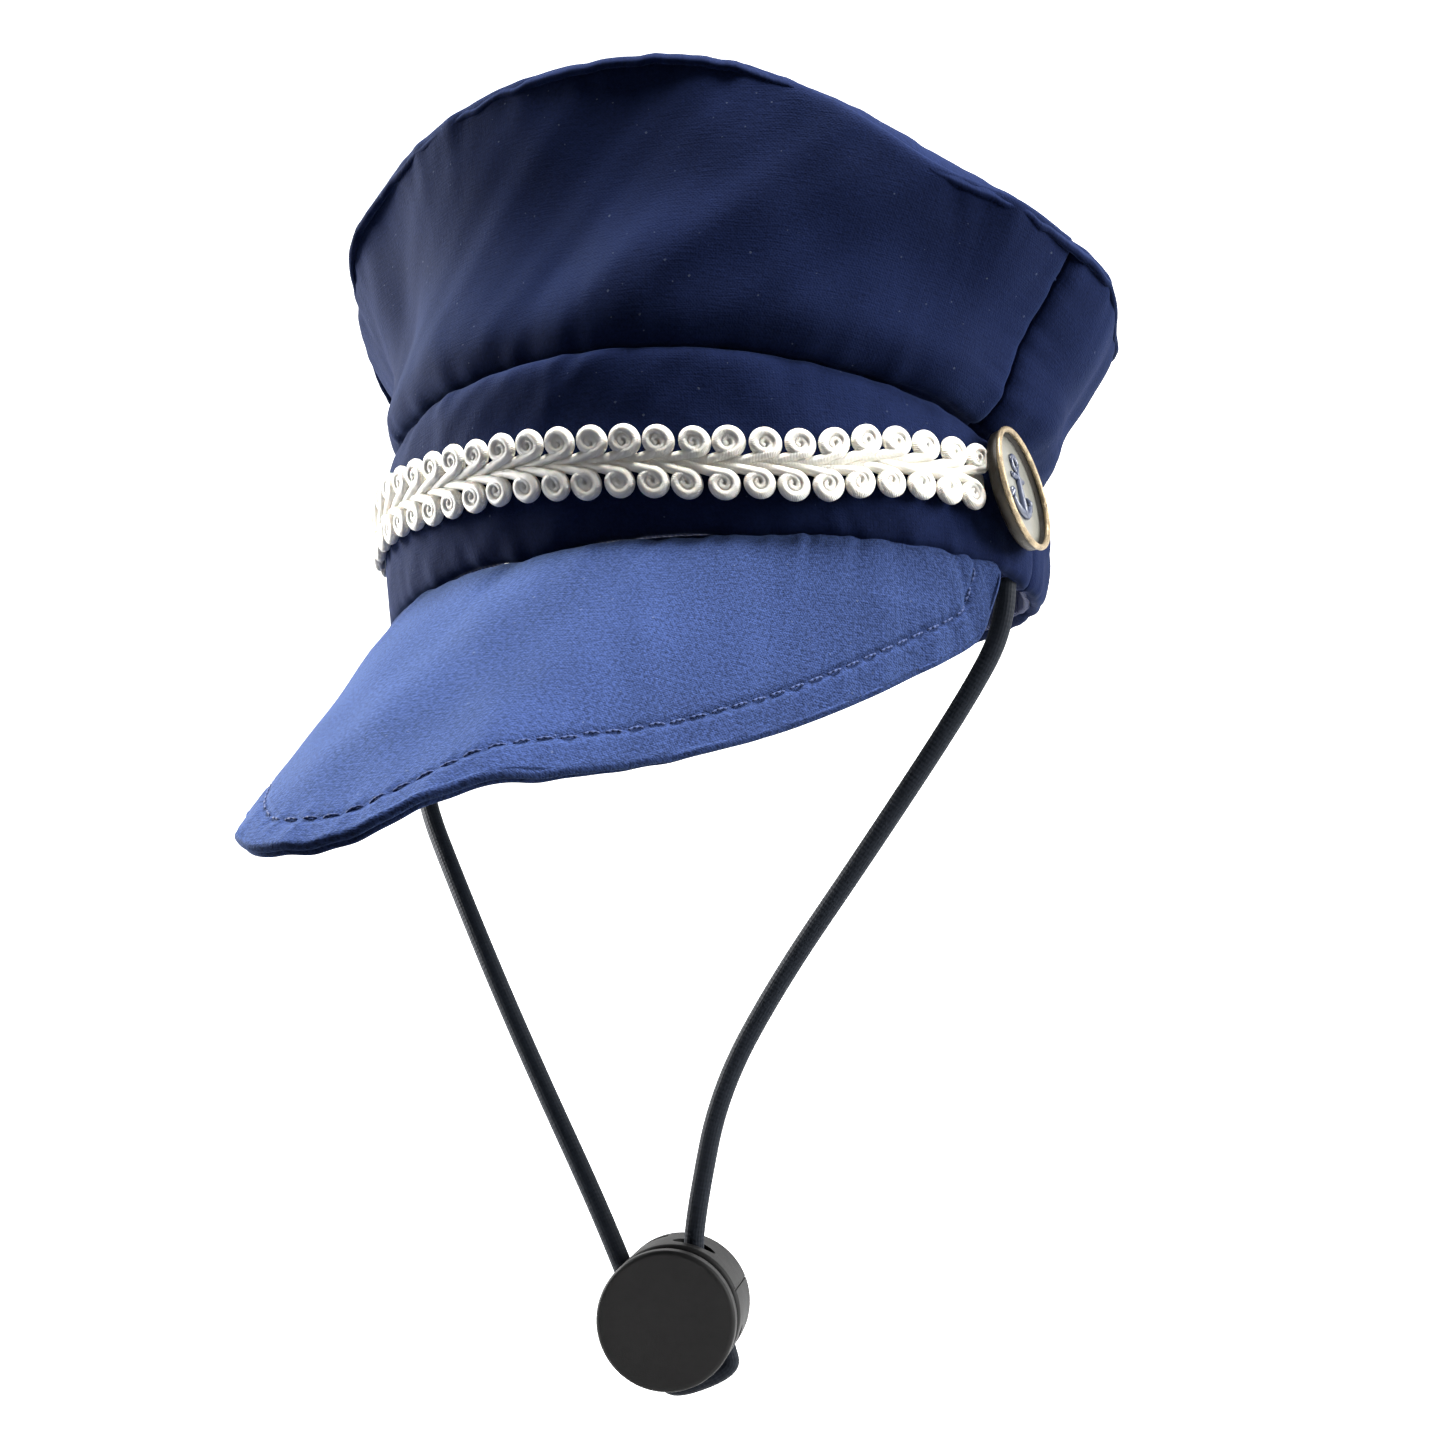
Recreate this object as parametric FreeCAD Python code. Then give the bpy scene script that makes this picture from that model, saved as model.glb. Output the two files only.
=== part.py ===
import FreeCAD, Part
import math
import os

# Small peaked cap with a braid-trimmed band, two metal buttons and a chin cord with a cord lock.
# Millimetres. +Z is up, -Y is the front. The head opening lies in the plane Z = 0.
# An azimuth is measured in degrees from the front, positive towards the wearer's left (+X).

# ---- head opening and band ----
OPENING_HALF_WIDTH = 43.0
OPENING_HALF_DEPTH = 38.0
BAND_TOP_HALF_WIDTH = 42.4
BAND_TOP_HALF_DEPTH = 43.6
BAND_HEIGHT_MEAN = 16.9
BAND_HEIGHT_RISE = 4.5         # the band is this much taller at the front than on average
BAND_CLOTH = 0.9
STIFFENER = 0.8
SWEATBAND = 0.9
BAND_SEAM_AZIMUTH = 101.0      # the front and back strips of the band meet here
LAYER_GAP = 0.12

# ---- crown ----
RIM_HALF_WIDTH = 52.2
RIM_HALF_DEPTH = 45.8
RIM_CENTRE_Y = 3.4
RIM_HEIGHT_MEAN = 44.1
RIM_HEIGHT_RISE = 7.95         # front to back slope of the rim
RIM_HEIGHT_SADDLE = 6.55       # the rim dips at both sides
CROWN_CLOTH = 1.2
CROWN_FULLNESS = 2.6           # how far the side panels belly outwards between their seams
CROWN_DOME = 5.0
SIDE_SEAM_AZIMUTH = 88.0
LINING = 0.5
LINING_DROP = 2.4              # clearance between the lining and the top panel

# ---- peak ----
PEAK_END_AZIMUTH = 86.9        # the peak is sewn to the band up to this azimuth on both sides
PEAK_LENGTH = 57.0
PEAK_DROOP_FRONT = 47.8        # degrees below level
PEAK_DROOP_SIDE = 61.0         # further droop towards the ends
PEAK_COVER = 0.55
PEAK_BOARD = 0.8
PEAK_GAP = 0.06
PEAK_LAST_SECTION = 87.0

# ---- braid and buttons ----
BRAID_HEIGHT = 8.3
BRAID_THICKNESS = 1.7
BRAID_FRONT_Z = 7.9
BRAID_SIDE_Z = 9.5
BRAID_END_AZIMUTH = 82.0
BUTTON_RADIUS = 7.75
BUTTON_AZIMUTH = 91.0
BUTTON_FACING = 99.0           # azimuth that the button faces
BUTTON_TILT = 10.0             # degrees upwards
BUTTON_Z = 9.6
SHANK_RADIUS = 1.2

# ---- chin cord and cord lock ----
CORD_DIAMETER = 2.5
EXIT_X = 40.0
EXIT_Y = 4.0
TAB_HEIGHT = 5.0
TAB_HALF_THICKNESS = 1.28
TAB_HALF_WIDTH = 2.0
LOCK_RADIUS = 8.5
LOCK_CENTRE = FreeCAD.Vector(-9.99, 5.47, -85.4)
LOCK_FACING = 28.4             # azimuth that the push button faces
LOCK_DIP = 11.0                # degrees below level
LOCK_ROLL = 20.0
DRUM_LENGTH = 12.6
DRUM_BACK_WALL = 1.6
BORE_RADIUS = 6.5
STEM_RADIUS = 6.2
CORD_AXIS_FROM_BACK = 8.2
CHANNEL_OFFSET = 4.3
CHANNEL_RADIUS = 1.6
MOUTH_STRETCH = 1.2            # each channel's mouth is this much longer outwards than the channel
MOUTH_FLOOR = 4.2              # height above the lock's middle at which a mouth begins
PARTING_WIDTH = 0.24           # fine groove where the drum's two mould halves meet
PARTING_DEPTH = 0.15
VENT = (3.0, 1.2)              # small window through the drum's top wall, over the spring
VENT_BACK = 2.4
CORD_JOIN = 3.5                # height above the lock's middle at which strands and loop meet
PRESS_TRAVEL = 2.4
PRESS_HEAD = 2.8
PRESS_GAP = 2.7

Vector = FreeCAD.Vector
Z_AXIS = Vector(0, 0, 1)
parts = {}


def sin(degrees):
    return math.sin(math.radians(degrees))


def cos(degrees):
    return math.cos(math.radians(degrees))


def spread(low, high, count):
    return [low + (high - low) * i / (count - 1) for i in range(count)]


def solid_between(outer_rows, inner_rows):
    """The closed solid between two smooth surfaces through matching grids of points."""
    surfaces = []
    for rows in (outer_rows, inner_rows):
        surface = Part.BSplineSurface()
        surface.interpolate(rows)
        surfaces.append(surface)
    faces = [surface.toShape() for surface in surfaces]
    u0, u1, v0, v1 = surfaces[0].bounds()
    for u in (u0, u1):
        faces.append(Part.makeRuledSurface(*[s.uIso(u).toShape() for s in surfaces]))
    for v in (v0, v1):
        faces.append(Part.makeRuledSurface(*[s.vIso(v).toShape() for s in surfaces]))
    shell = Part.makeShell(faces)
    shell.sewShape()
    solid = Part.makeSolid(shell)
    if solid.Volume < 0:
        solid.reverse()
    return solid


def surface_normal(point_at, a, b, step_a, step_b):
    """Unit normal of a surface given as a function of two parameters."""
    along_a = point_at(a + step_a, b) - point_at(a - step_a, b)
    along_b = point_at(a, b + step_b) - point_at(a, b - step_b)
    return along_a.cross(along_b).normalize()


def layer(point_at, a_values, b_values, depth, thickness, step=(0.5, 0.005)):
    """A sheet that lies depth under a surface and is thickness thick."""
    outer = []
    inner = []
    for a in a_values:
        pairs = [(point_at(a, b), surface_normal(point_at, a, b, *step)) for b in b_values]
        outer.append([p - n * depth for p, n in pairs])
        inner.append([p - n * (depth + thickness) for p, n in pairs])
    return solid_between(outer, inner)


# ---------------------------------------------------------------- the cap's shape

def band_height(azimuth):
    return BAND_HEIGHT_MEAN + BAND_HEIGHT_RISE * cos(azimuth)


def rim_height(azimuth):
    return RIM_HEIGHT_MEAN + RIM_HEIGHT_RISE * cos(azimuth) + RIM_HEIGHT_SADDLE * cos(2 * azimuth)


def band_point(azimuth, level):
    """A point on the band's outside, level 0 at the head opening and 1 at the crown seam."""
    half_width = OPENING_HALF_WIDTH + (BAND_TOP_HALF_WIDTH - OPENING_HALF_WIDTH) * level
    half_depth = OPENING_HALF_DEPTH + (BAND_TOP_HALF_DEPTH - OPENING_HALF_DEPTH) * level
    return Vector(half_width * sin(azimuth), -half_depth * cos(azimuth), band_height(azimuth) * level)


def crown_point(azimuth, level):
    """A point on the crown's side, level 0 at the band seam and 1 at the rim."""
    low = band_point(azimuth, 1.0)
    high = Vector(RIM_HALF_WIDTH * sin(azimuth), RIM_CENTRE_Y - RIM_HALF_DEPTH * cos(azimuth),
                  rim_height(azimuth))
    belly = CROWN_FULLNESS * 4 * level * (1 - level)
    outwards = Vector(sin(azimuth), -cos(azimuth), 0)
    return low + (high - low) * level + outwards * belly


def top_point(across, along, drop, scale):
    """A point of the domed top: across and along run from -1 to 1 over a square that maps to the oval."""
    x = across * math.sqrt(1 - along * along / 2) * scale
    y = along * math.sqrt(1 - across * across / 2) * scale
    height = (RIM_HEIGHT_MEAN - RIM_HEIGHT_RISE * y + RIM_HEIGHT_SADDLE * (y * y - x * x)
              + CROWN_DOME * (1 - x * x - y * y))
    return Vector(RIM_HALF_WIDTH * x, RIM_CENTRE_Y + RIM_HALF_DEPTH * y, height - drop)


def peak_point(turn, level):
    """A point on the peak's upper side, turn -90 to 90 across it, level 0 at the band and 1 at the edge."""
    azimuth = PEAK_END_AZIMUTH * turn / 90
    root = Vector(OPENING_HALF_WIDTH * sin(azimuth), -OPENING_HALF_DEPTH * cos(azimuth), 0)
    side = sin(turn) ** 2
    width = PEAK_LENGTH * abs(cos(turn)) ** 0.316 * (1 - 0.824 * side + 0.107 * side ** 2)
    droop = PEAK_DROOP_FRONT + PEAK_DROOP_SIDE * side ** 2
    return root + Vector(0, -cos(droop), -sin(droop)) * width * level


# ---------------------------------------------------------------- band

def band_strip(first, last, depth, thickness, low, high):
    count = max(9, int((last - first) / 9) | 1)
    return layer(band_point, spread(first, last, count), spread(low, high, 4), depth, thickness)


def shank_axis(side):
    """Where a button's shank crosses the band, and the way the button faces."""
    seat = band_point(side * BUTTON_AZIMUTH, BUTTON_Z / band_height(BUTTON_AZIMUTH))
    facing = Vector(sin(BUTTON_FACING) * cos(BUTTON_TILT) * side,
                    -cos(BUTTON_FACING) * cos(BUTTON_TILT), sin(BUTTON_TILT))
    return seat, facing


def make_band():
    seam = BAND_SEAM_AZIMUTH
    stiffener_depth = BAND_CLOTH + LAYER_GAP
    sweatband_depth = stiffener_depth + STIFFENER + LAYER_GAP
    strips = {
        "band_front": band_strip(-seam + 0.1, seam - 0.1, 0, BAND_CLOTH, 0.0, 0.99),
        "band_back": band_strip(seam + 0.1, 360 - seam - 0.1, 0, BAND_CLOTH, 0.0, 0.99),
        "band_stiffener": band_strip(-179.6, 179.6, stiffener_depth, STIFFENER, 0.04, 0.96),
        "sweatband": band_strip(-179.6, 179.6, sweatband_depth, SWEATBAND, 0.01, 0.92),
    }
    for side in (-1, 1):
        seat, facing = shank_axis(side)
        shank_hole = Part.makeCylinder(SHANK_RADIUS + 0.3, 14, seat - facing * 7, facing)
        cord_notch = Part.makeBox(6.0, 2 * TAB_HALF_WIDTH + 0.8, TAB_HEIGHT + 1.3)
        cord_notch.translate(Vector(side * EXIT_X - 3.0, EXIT_Y - TAB_HALF_WIDTH - 0.4, -1.0))
        for name in ("band_front", "band_stiffener", "sweatband"):
            strips[name] = strips[name].cut(shank_hole)
        for name in ("band_stiffener", "sweatband"):
            strips[name] = strips[name].cut(cord_notch)
    parts.update(strips)


# ---------------------------------------------------------------- crown and lining

def make_crown():
    seam = SIDE_SEAM_AZIMUTH
    levels = spread(0.0, 1.0, 6)
    parts["crown_front_panel"] = layer(crown_point, spread(-seam + 0.1, seam - 0.1, 19), levels,
                                       0, CROWN_CLOTH)
    parts["crown_back_panel"] = layer(crown_point, spread(seam + 0.1, 360 - seam - 0.1, 19), levels,
                                      0, CROWN_CLOTH)
    parts["crown_top_panel"] = top_sheet(-CROWN_CLOTH - 0.1, CROWN_CLOTH, 1.0)
    parts["lining_side"] = layer(crown_point, spread(-179.6, 179.6, 37), spread(0.03, 0.93, 6),
                                 CROWN_CLOTH + 0.5, LINING)
    parts["lining_top"] = top_sheet(LINING_DROP, LINING, 0.94)


def top_sheet(drop, thickness, scale):
    steps = spread(-1.0, 1.0, 13)
    surfaces = []
    for extra in (0, thickness):
        surfaces.append([[top_point(a, b, drop + extra, scale) for b in steps] for a in steps])
    return solid_between(*surfaces)


# ---------------------------------------------------------------- peak

def make_peak():
    full = spread(-PEAK_LAST_SECTION, PEAK_LAST_SECTION, 31)
    under_depth = PEAK_COVER + PEAK_BOARD + 2 * PEAK_GAP
    layers = {
        "peak_top_cover": (full, 1.0, 0.0, PEAK_COVER),
        "peak_board": ([0.95 * turn for turn in full], 0.94, PEAK_COVER + PEAK_GAP, PEAK_BOARD),
        "peak_under_cover": (full, 0.99, under_depth, PEAK_COVER),
    }
    for name, (turns, reach, depth, thickness) in layers.items():
        # The peak's normal points down, so a layer under the upper side has a negative depth.
        parts[name] = layer(peak_point, turns, spread(0.02, reach, 5), -depth - thickness, thickness)


# ---------------------------------------------------------------- braid and buttons

def braid_point(azimuth, height):
    middle = BRAID_SIDE_Z + (BRAID_FRONT_Z - BRAID_SIDE_Z) * cos(azimuth)
    return band_point(azimuth, (middle + height) / band_height(azimuth))


def make_braid():
    half = BRAID_HEIGHT / 2
    parts["braid_trim"] = layer(braid_point, spread(-BRAID_END_AZIMUTH, BRAID_END_AZIMUTH, 25),
                                spread(-half, half, 4), -BRAID_THICKNESS - 0.1, BRAID_THICKNESS,
                                (0.5, 0.05))


def turned(profile, seat, facing):
    """A solid of revolution: profile points are (radius, height along facing) from the seat."""
    points = [Vector(radius, 0, height) for radius, height in profile]
    outline = Part.Face(Part.makePolygon(points + points[:1]))
    solid = outline.revolve(Vector(0, 0, 0), Z_AXIS, 360)
    solid.Placement = FreeCAD.Placement(seat, FreeCAD.Rotation(Z_AXIS, facing))
    return solid


def make_button(side, label):
    seat, facing = shank_axis(side)
    seat = seat + facing * 1.9
    radius = BUTTON_RADIUS
    parts[f"button_{label}_shell"] = turned(
        [(SHANK_RADIUS, 0), (radius - 1.6, 0), (radius - 0.4, 0.5), (radius, 1.3), (radius - 0.5, 2.3),
         (radius - 1.2, 2.4), (radius - 1.6, 1.8), (radius - 1.7, 1.0), (SHANK_RADIUS, 1.0)], seat, facing)
    parts[f"button_{label}_face"] = turned(
        [(0, 1.05), (radius - 1.8, 1.05), (radius - 1.8, 1.5), (0, 1.85)], seat, facing)
    parts[f"button_{label}_shank"] = turned(
        [(0, -6.2), (2.4, -6.2), (2.4, -5.6), (SHANK_RADIUS - 0.1, -5.6), (SHANK_RADIUS - 0.1, 1.0),
         (0, 1.0)], seat, facing)
    parts[f"button_{label}_emblem"] = anchor_emblem(seat, facing)


def anchor_emblem(seat, facing):
    """A plain anchor that stands 0.35 mm proud of the button's face."""
    thick = 0.6
    pieces = [Part.makeBox(1.0, 7.0, thick, Vector(-0.5, -3.6, 0)),
              Part.makeBox(4.4, 0.9, thick, Vector(-2.2, 1.4, 0))]
    ring_middle = Vector(0, 4.1, 0)
    arms_middle = Vector(0, 0.2, 0)
    ring = Part.makeCylinder(1.3, thick, ring_middle).cut(Part.makeCylinder(0.6, thick, ring_middle))
    arms = Part.makeCylinder(3.9, thick, arms_middle).cut(Part.makeCylinder(2.9, thick, arms_middle))
    arms = arms.common(Part.makeBox(9, 3.2, thick, Vector(-4.5, -3.9, 0)))
    shaft, stock = pieces
    emblem = shaft.fuse([stock, ring, arms])
    emblem.translate(Vector(0, -0.3, 1.9))
    upright = FreeCAD.Rotation(Z_AXIS.cross(facing), Z_AXIS, facing, "ZXY")
    emblem.Placement = FreeCAD.Placement(seat, upright).multiply(emblem.Placement)
    return emblem


# ---------------------------------------------------------------- cord lock

def lock_frame():
    """The lock's axes: x across the two channels, y along the cord, z out of the push button."""
    facing = Vector(sin(LOCK_FACING) * cos(LOCK_DIP), -cos(LOCK_FACING) * cos(LOCK_DIP), -sin(LOCK_DIP))
    along = (Z_AXIS - facing * Z_AXIS.dot(facing)).normalize()
    along = FreeCAD.Rotation(facing, LOCK_ROLL).multVec(along)
    return FreeCAD.Placement(LOCK_CENTRE, FreeCAD.Rotation(along.cross(facing), along, facing, "ZXY"))


def disc(radius, low, high):
    """A cylinder on the lock's own axis, heights measured from the drum's back face."""
    return Part.makeCylinder(radius, high - low, Vector(0, 0, low - CORD_AXIS_FROM_BACK))


def drum_mouths(side):
    """Cuts on one side of the drum: two stretched mouths and the parting groove."""
    cuts = []
    inner = side * CHANNEL_OFFSET
    outer = side * (CHANNEL_OFFSET + MOUTH_STRETCH)
    for up in (-1, 1):
        low = MOUTH_FLOOR if up > 0 else -2 * LOCK_RADIUS
        height = 2 * LOCK_RADIUS - MOUTH_FLOOR
        cuts.append(Part.makeCylinder(CHANNEL_RADIUS, height, Vector(outer, low, 0), Vector(0, 1, 0)))
        cuts.append(Part.makeBox(MOUTH_STRETCH, height, 2 * CHANNEL_RADIUS,
                                 Vector(min(inner, outer), low, -CHANNEL_RADIUS)))
    rim = side * (LOCK_RADIUS - PARTING_DEPTH)
    cuts.append(Part.makeBox(1, PARTING_WIDTH, DRUM_LENGTH,
                             Vector(min(rim, rim + side), -PARTING_WIDTH / 2, -CORD_AXIS_FROM_BACK)))
    return cuts


def make_lock():
    stem_back = DRUM_BACK_WALL + 3.7
    drum = disc(LOCK_RADIUS, 0, DRUM_LENGTH)
    rims = [edge for edge in drum.Edges if abs(edge.Length - 2 * math.pi * LOCK_RADIUS) < 0.01]
    drum = drum.makeFillet(0.7, rims).cut(disc(BORE_RADIUS, DRUM_BACK_WALL, DRUM_LENGTH))
    stem = disc(STEM_RADIUS, stem_back, DRUM_LENGTH + PRESS_GAP)
    head = disc(LOCK_RADIUS, DRUM_LENGTH + PRESS_GAP, DRUM_LENGTH + PRESS_GAP + PRESS_HEAD)
    rims = [edge for edge in head.Edges if abs(edge.Length - 2 * math.pi * LOCK_RADIUS) < 0.01]
    head = head.makeFillet(0.6, rims)
    for side in (-1, 1):
        channel = Part.makeCylinder(CHANNEL_RADIUS, 4 * LOCK_RADIUS,
                                    Vector(side * CHANNEL_OFFSET, -2 * LOCK_RADIUS, 0), Vector(0, 1, 0))
        drum = drum.cut([channel, *drum_mouths(side)])
        slot_low = -CHANNEL_RADIUS
        slot_high = CHANNEL_RADIUS + PRESS_TRAVEL
        inner_edge = CHANNEL_OFFSET - CHANNEL_RADIUS
        left_edge = inner_edge if side > 0 else -inner_edge - 2 * LOCK_RADIUS
        slot = Part.makeBox(2 * LOCK_RADIUS, 4 * LOCK_RADIUS, slot_high - slot_low,
                            Vector(left_edge, -2 * LOCK_RADIUS, slot_low))
        stem = stem.cut(slot)
    wide, high = VENT
    drum = drum.cut(Part.makeBox(wide, LOCK_RADIUS, high,
                                 Vector(-wide / 2, STEM_RADIUS - 1, VENT_BACK - CORD_AXIS_FROM_BACK)))
    spring = disc(3.2, DRUM_BACK_WALL, stem_back).cut(disc(2.6, DRUM_BACK_WALL, stem_back))
    place = lock_frame()
    for name, shape in (("lock_drum", drum), ("lock_push_button", stem.fuse(head).removeSplitter()),
                        ("lock_spring", spring)):
        shape.Placement = place.multiply(shape.Placement)
        parts[name] = shape


# ---------------------------------------------------------------- chin cord

def rounded_path(points):
    """Straight runs joined by tangent arcs, each arc as large as its two runs allow."""
    edges = []
    start = points[0]
    radii = []
    for before, corner, after in zip(points, points[1:], points[2:]):
        arriving = (corner - before).normalize()
        leaving = (after - corner).normalize()
        half_turn = arriving.getAngle(leaving) / 2
        cut = 0.45 * min(corner.distanceToPoint(before), corner.distanceToPoint(after))
        radius = cut / math.tan(half_turn)
        radii.append(round(radius, 1))
        arc_start = corner - arriving * cut
        arc_end = corner + leaving * cut
        inward = (leaving - arriving).normalize()
        sag = radius * (1 / math.cos(half_turn) - 1)
        edges.append(Part.LineSegment(start, arc_start).toShape())
        edges.append(Part.Arc(arc_start, corner + inward * sag, arc_end).toShape())
        start = arc_end
    edges.append(Part.LineSegment(start, points[-1]).toShape())
    return Part.Wire(edges), radii


def cord_tube(name, points):
    path, radii = rounded_path(points)
    section = Part.Wire(Part.makeCircle(CORD_DIAMETER / 2, points[0], points[1] - points[0]))
    tube = path.makePipeShell([section], True, False)
    expected = math.pi * (CORD_DIAMETER / 2) ** 2 * path.Length
    print(name, "radii", radii, "length", round(path.Length, 1),
          "volume ratio", round(tube.Volume / expected, 3))
    parts[name] = tube


def make_cord():
    place = lock_frame()
    right_end, right_mouth, right_lead, left_lead, left_end = [
        place.multVec(Vector(across, along, 0)) for across, along in
        ((CHANNEL_OFFSET, CORD_JOIN), (CHANNEL_OFFSET, 5.4), (7.3, 11.2), (-CHANNEL_OFFSET, 12.0),
         (-CHANNEL_OFFSET, CORD_JOIN))]
    cord_tube("cord_right", [
        Vector(EXIT_X, EXIT_Y, 0), Vector(EXIT_X, EXIT_Y, -5.5), Vector(34, 4.2, -14),
        Vector(20.5, 4.6, -31), Vector(7.5, 4.6, -46), Vector(-1.5, 3.9, -59), right_lead, right_mouth,
        right_end])
    cord_tube("cord_left", [
        Vector(-EXIT_X, EXIT_Y, 0), Vector(-EXIT_X, EXIT_Y, -4), Vector(-38.8, 0.8, -11.5),
        Vector(-40.2, -5.0, -21), Vector(-34.5, -5.2, -36), Vector(-27.0, -2.5, -54), left_lead, left_end])
    loop = [(1, CORD_JOIN), (1, -7.6), (0.75, -10.1), (-0.75, -10.1), (-1, -7.6), (-1, CORD_JOIN)]
    cord_tube("cord_loop", [place.multVec(Vector(side * CHANNEL_OFFSET, along, 0)) for side, along in loop])


def make_tabs():
    for side, label in ((-1, "left"), (1, "right")):
        corner = Vector(side * EXIT_X - TAB_HALF_THICKNESS, EXIT_Y - TAB_HALF_WIDTH, 0)
        tab = Part.makeBox(2 * TAB_HALF_THICKNESS, 2 * TAB_HALF_WIDTH, TAB_HEIGHT, corner)
        uprights = [edge for edge in tab.Edges if edge.BoundBox.ZLength > TAB_HEIGHT / 2]
        parts[f"cord_tab_{label}"] = tab.makeFillet(0.6, uprights)


make_band()
make_crown()
make_peak()
make_braid()
make_button(1, "left")
make_button(-1, "right")
make_lock()
make_tabs()
make_cord()

os.makedirs("parts", exist_ok=True)
for node, shape in parts.items():
    print(node, "valid", shape.isValid(), "solids", len(shape.Solids), "volume", round(shape.Volume, 1))
    shape.exportStep(f"parts/{node}.step")
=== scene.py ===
"""Builds the looks of a small peaked cap with gimp braid, two metal buttons and a chin cord."""

import math

import bpy
import numpy as np
from mathutils import Matrix, Vector


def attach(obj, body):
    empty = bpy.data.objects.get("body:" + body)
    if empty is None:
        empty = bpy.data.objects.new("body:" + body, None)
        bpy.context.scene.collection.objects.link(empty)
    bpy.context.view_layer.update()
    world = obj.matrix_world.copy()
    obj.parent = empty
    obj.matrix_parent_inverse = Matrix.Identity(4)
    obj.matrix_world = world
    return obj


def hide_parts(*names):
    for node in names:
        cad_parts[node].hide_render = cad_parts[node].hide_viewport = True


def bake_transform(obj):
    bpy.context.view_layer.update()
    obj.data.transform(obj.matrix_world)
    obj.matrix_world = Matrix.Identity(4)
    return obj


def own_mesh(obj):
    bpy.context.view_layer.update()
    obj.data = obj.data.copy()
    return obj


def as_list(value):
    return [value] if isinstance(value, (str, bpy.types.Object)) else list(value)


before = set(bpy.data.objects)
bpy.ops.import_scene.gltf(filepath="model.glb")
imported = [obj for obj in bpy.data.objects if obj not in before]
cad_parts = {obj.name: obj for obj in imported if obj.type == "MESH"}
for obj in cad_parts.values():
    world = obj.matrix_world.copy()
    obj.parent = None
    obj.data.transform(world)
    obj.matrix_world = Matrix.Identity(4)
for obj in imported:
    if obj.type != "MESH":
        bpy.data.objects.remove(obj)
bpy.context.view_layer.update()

bl_info = {
    "name": "Small peaked cap",
    "version": (1, 0, 0),
    "blender": (4, 5, 0),
    "location": "3D View > Sidebar > Cap",
    "description": "Makes the cloth, braid, buttons, cord and finishes of a small peaked cap",
    "category": "Object",
}

MM = 0.001
TURN = 2 * math.pi

# The cap's own shape, in millimetres. An azimuth is measured in degrees from the front (-Y),
# positive towards the wearer's left (+X).
OPENING_HALF = (43.0, 38.0)
BAND_TOP_HALF = (42.4, 43.6)
RIM_HALF = (52.2, 45.8)
RIM_CENTRE_Y = 3.4
CROWN_FULLNESS = 2.6
CROWN_DOME = 5.0
SIDE_SEAM = 88.0
BAND_SEAM = 101.0
PEAK_END = 86.9
PEAK_LENGTH = 57.0
BRAID_END = 83.0
BUTTON_AZIMUTH = 91.0
BUTTON_FACING = 99.0
BUTTON_TILT = 10.0
BUTTON_Z = 9.6
EXIT = (40.0, 4.0, 0.0)
LOCK_CENTRE = (-9.99, 5.47, -85.4)
LOCK_FACING = 28.4
LOCK_DIP = 11.0
LOCK_ROLL = 20.0


# ---------------------------------------------------------------- numbers and curves

def sin(degrees):
    return np.sin(np.radians(degrees))


def cos(degrees):
    return np.cos(np.radians(degrees))


def unit(vectors):
    return vectors / np.maximum(np.linalg.norm(vectors, axis=-1, keepdims=True), 1e-12)


def stack(x, y, z):
    return np.stack(np.broadcast_arrays(x, y, z), axis=-1).astype(float)


def wander(x, pitch, seed):
    """A smooth uneven wave, about -1 to 1, whose crests are roughly pitch apart."""
    random = np.random.default_rng(seed)
    total = 0
    for ratio, share in ((1.0, 0.5), (1.43, 0.4), (0.62, 0.3)):
        total = total + share * np.sin(TURN * x / (pitch * ratio) + random.uniform(0, TURN))
    return total


def tuck(distance, depth, reach):
    """How far cloth is drawn in near a seam."""
    return -depth * np.exp(-np.maximum(distance, 0) / reach)


def pucker(along, distance, pitch, depth, reach, seed):
    """Short gathers that run away from a seam and fade."""
    lean = 0.25 * distance * wander(along, 5 * pitch, seed + 7)
    strength = 0.65 + 0.35 * wander(along, 4.3 * pitch, seed + 3)
    return depth * strength * wander(along + lean, pitch, seed) * np.exp(-np.maximum(distance, 0) / reach)


def hump(x, middle, reach):
    return np.exp(-((x - middle) / reach) ** 2)


def dent(s, t, at, heading, width, length, depth):
    """A long soft fold on a panel: a ridge where depth is positive and a hollow where it isn't."""
    ds = s - at[0]
    dt = t - at[1]
    along = ds * sin(heading) + dt * cos(heading)
    across = ds * cos(heading) - dt * sin(heading)
    return depth * np.exp(-(across / width) ** 2 - (along / length) ** 2)


def grid_normals(points):
    across = np.gradient(points, axis=0)
    along = np.gradient(points, axis=1)
    return unit(np.cross(across, along))


def arc_lengths(points, axis):
    steps = np.linalg.norm(np.diff(points, axis=axis), axis=-1)
    return np.insert(np.cumsum(steps, axis=axis), 0, 0, axis=axis)


# ---------------------------------------------------------------- the cap's surfaces, in millimetres

def band_height(azimuth):
    return 16.9 + 4.5 * cos(azimuth)


def rim_height(azimuth):
    return 44.1 + 7.95 * cos(azimuth) + 6.55 * cos(2 * azimuth)


def band_surface(azimuth, level):
    half_width = OPENING_HALF[0] + (BAND_TOP_HALF[0] - OPENING_HALF[0]) * level
    half_depth = OPENING_HALF[1] + (BAND_TOP_HALF[1] - OPENING_HALF[1]) * level
    return stack(half_width * sin(azimuth), -half_depth * cos(azimuth), band_height(azimuth) * level)


def whole_turn(count, levels):
    """Grids of azimuth and level right round the cap; the last azimuth joins the first."""
    return np.meshgrid(np.linspace(-180, 180, count + 1)[:-1], levels, indexing="ij")


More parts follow.
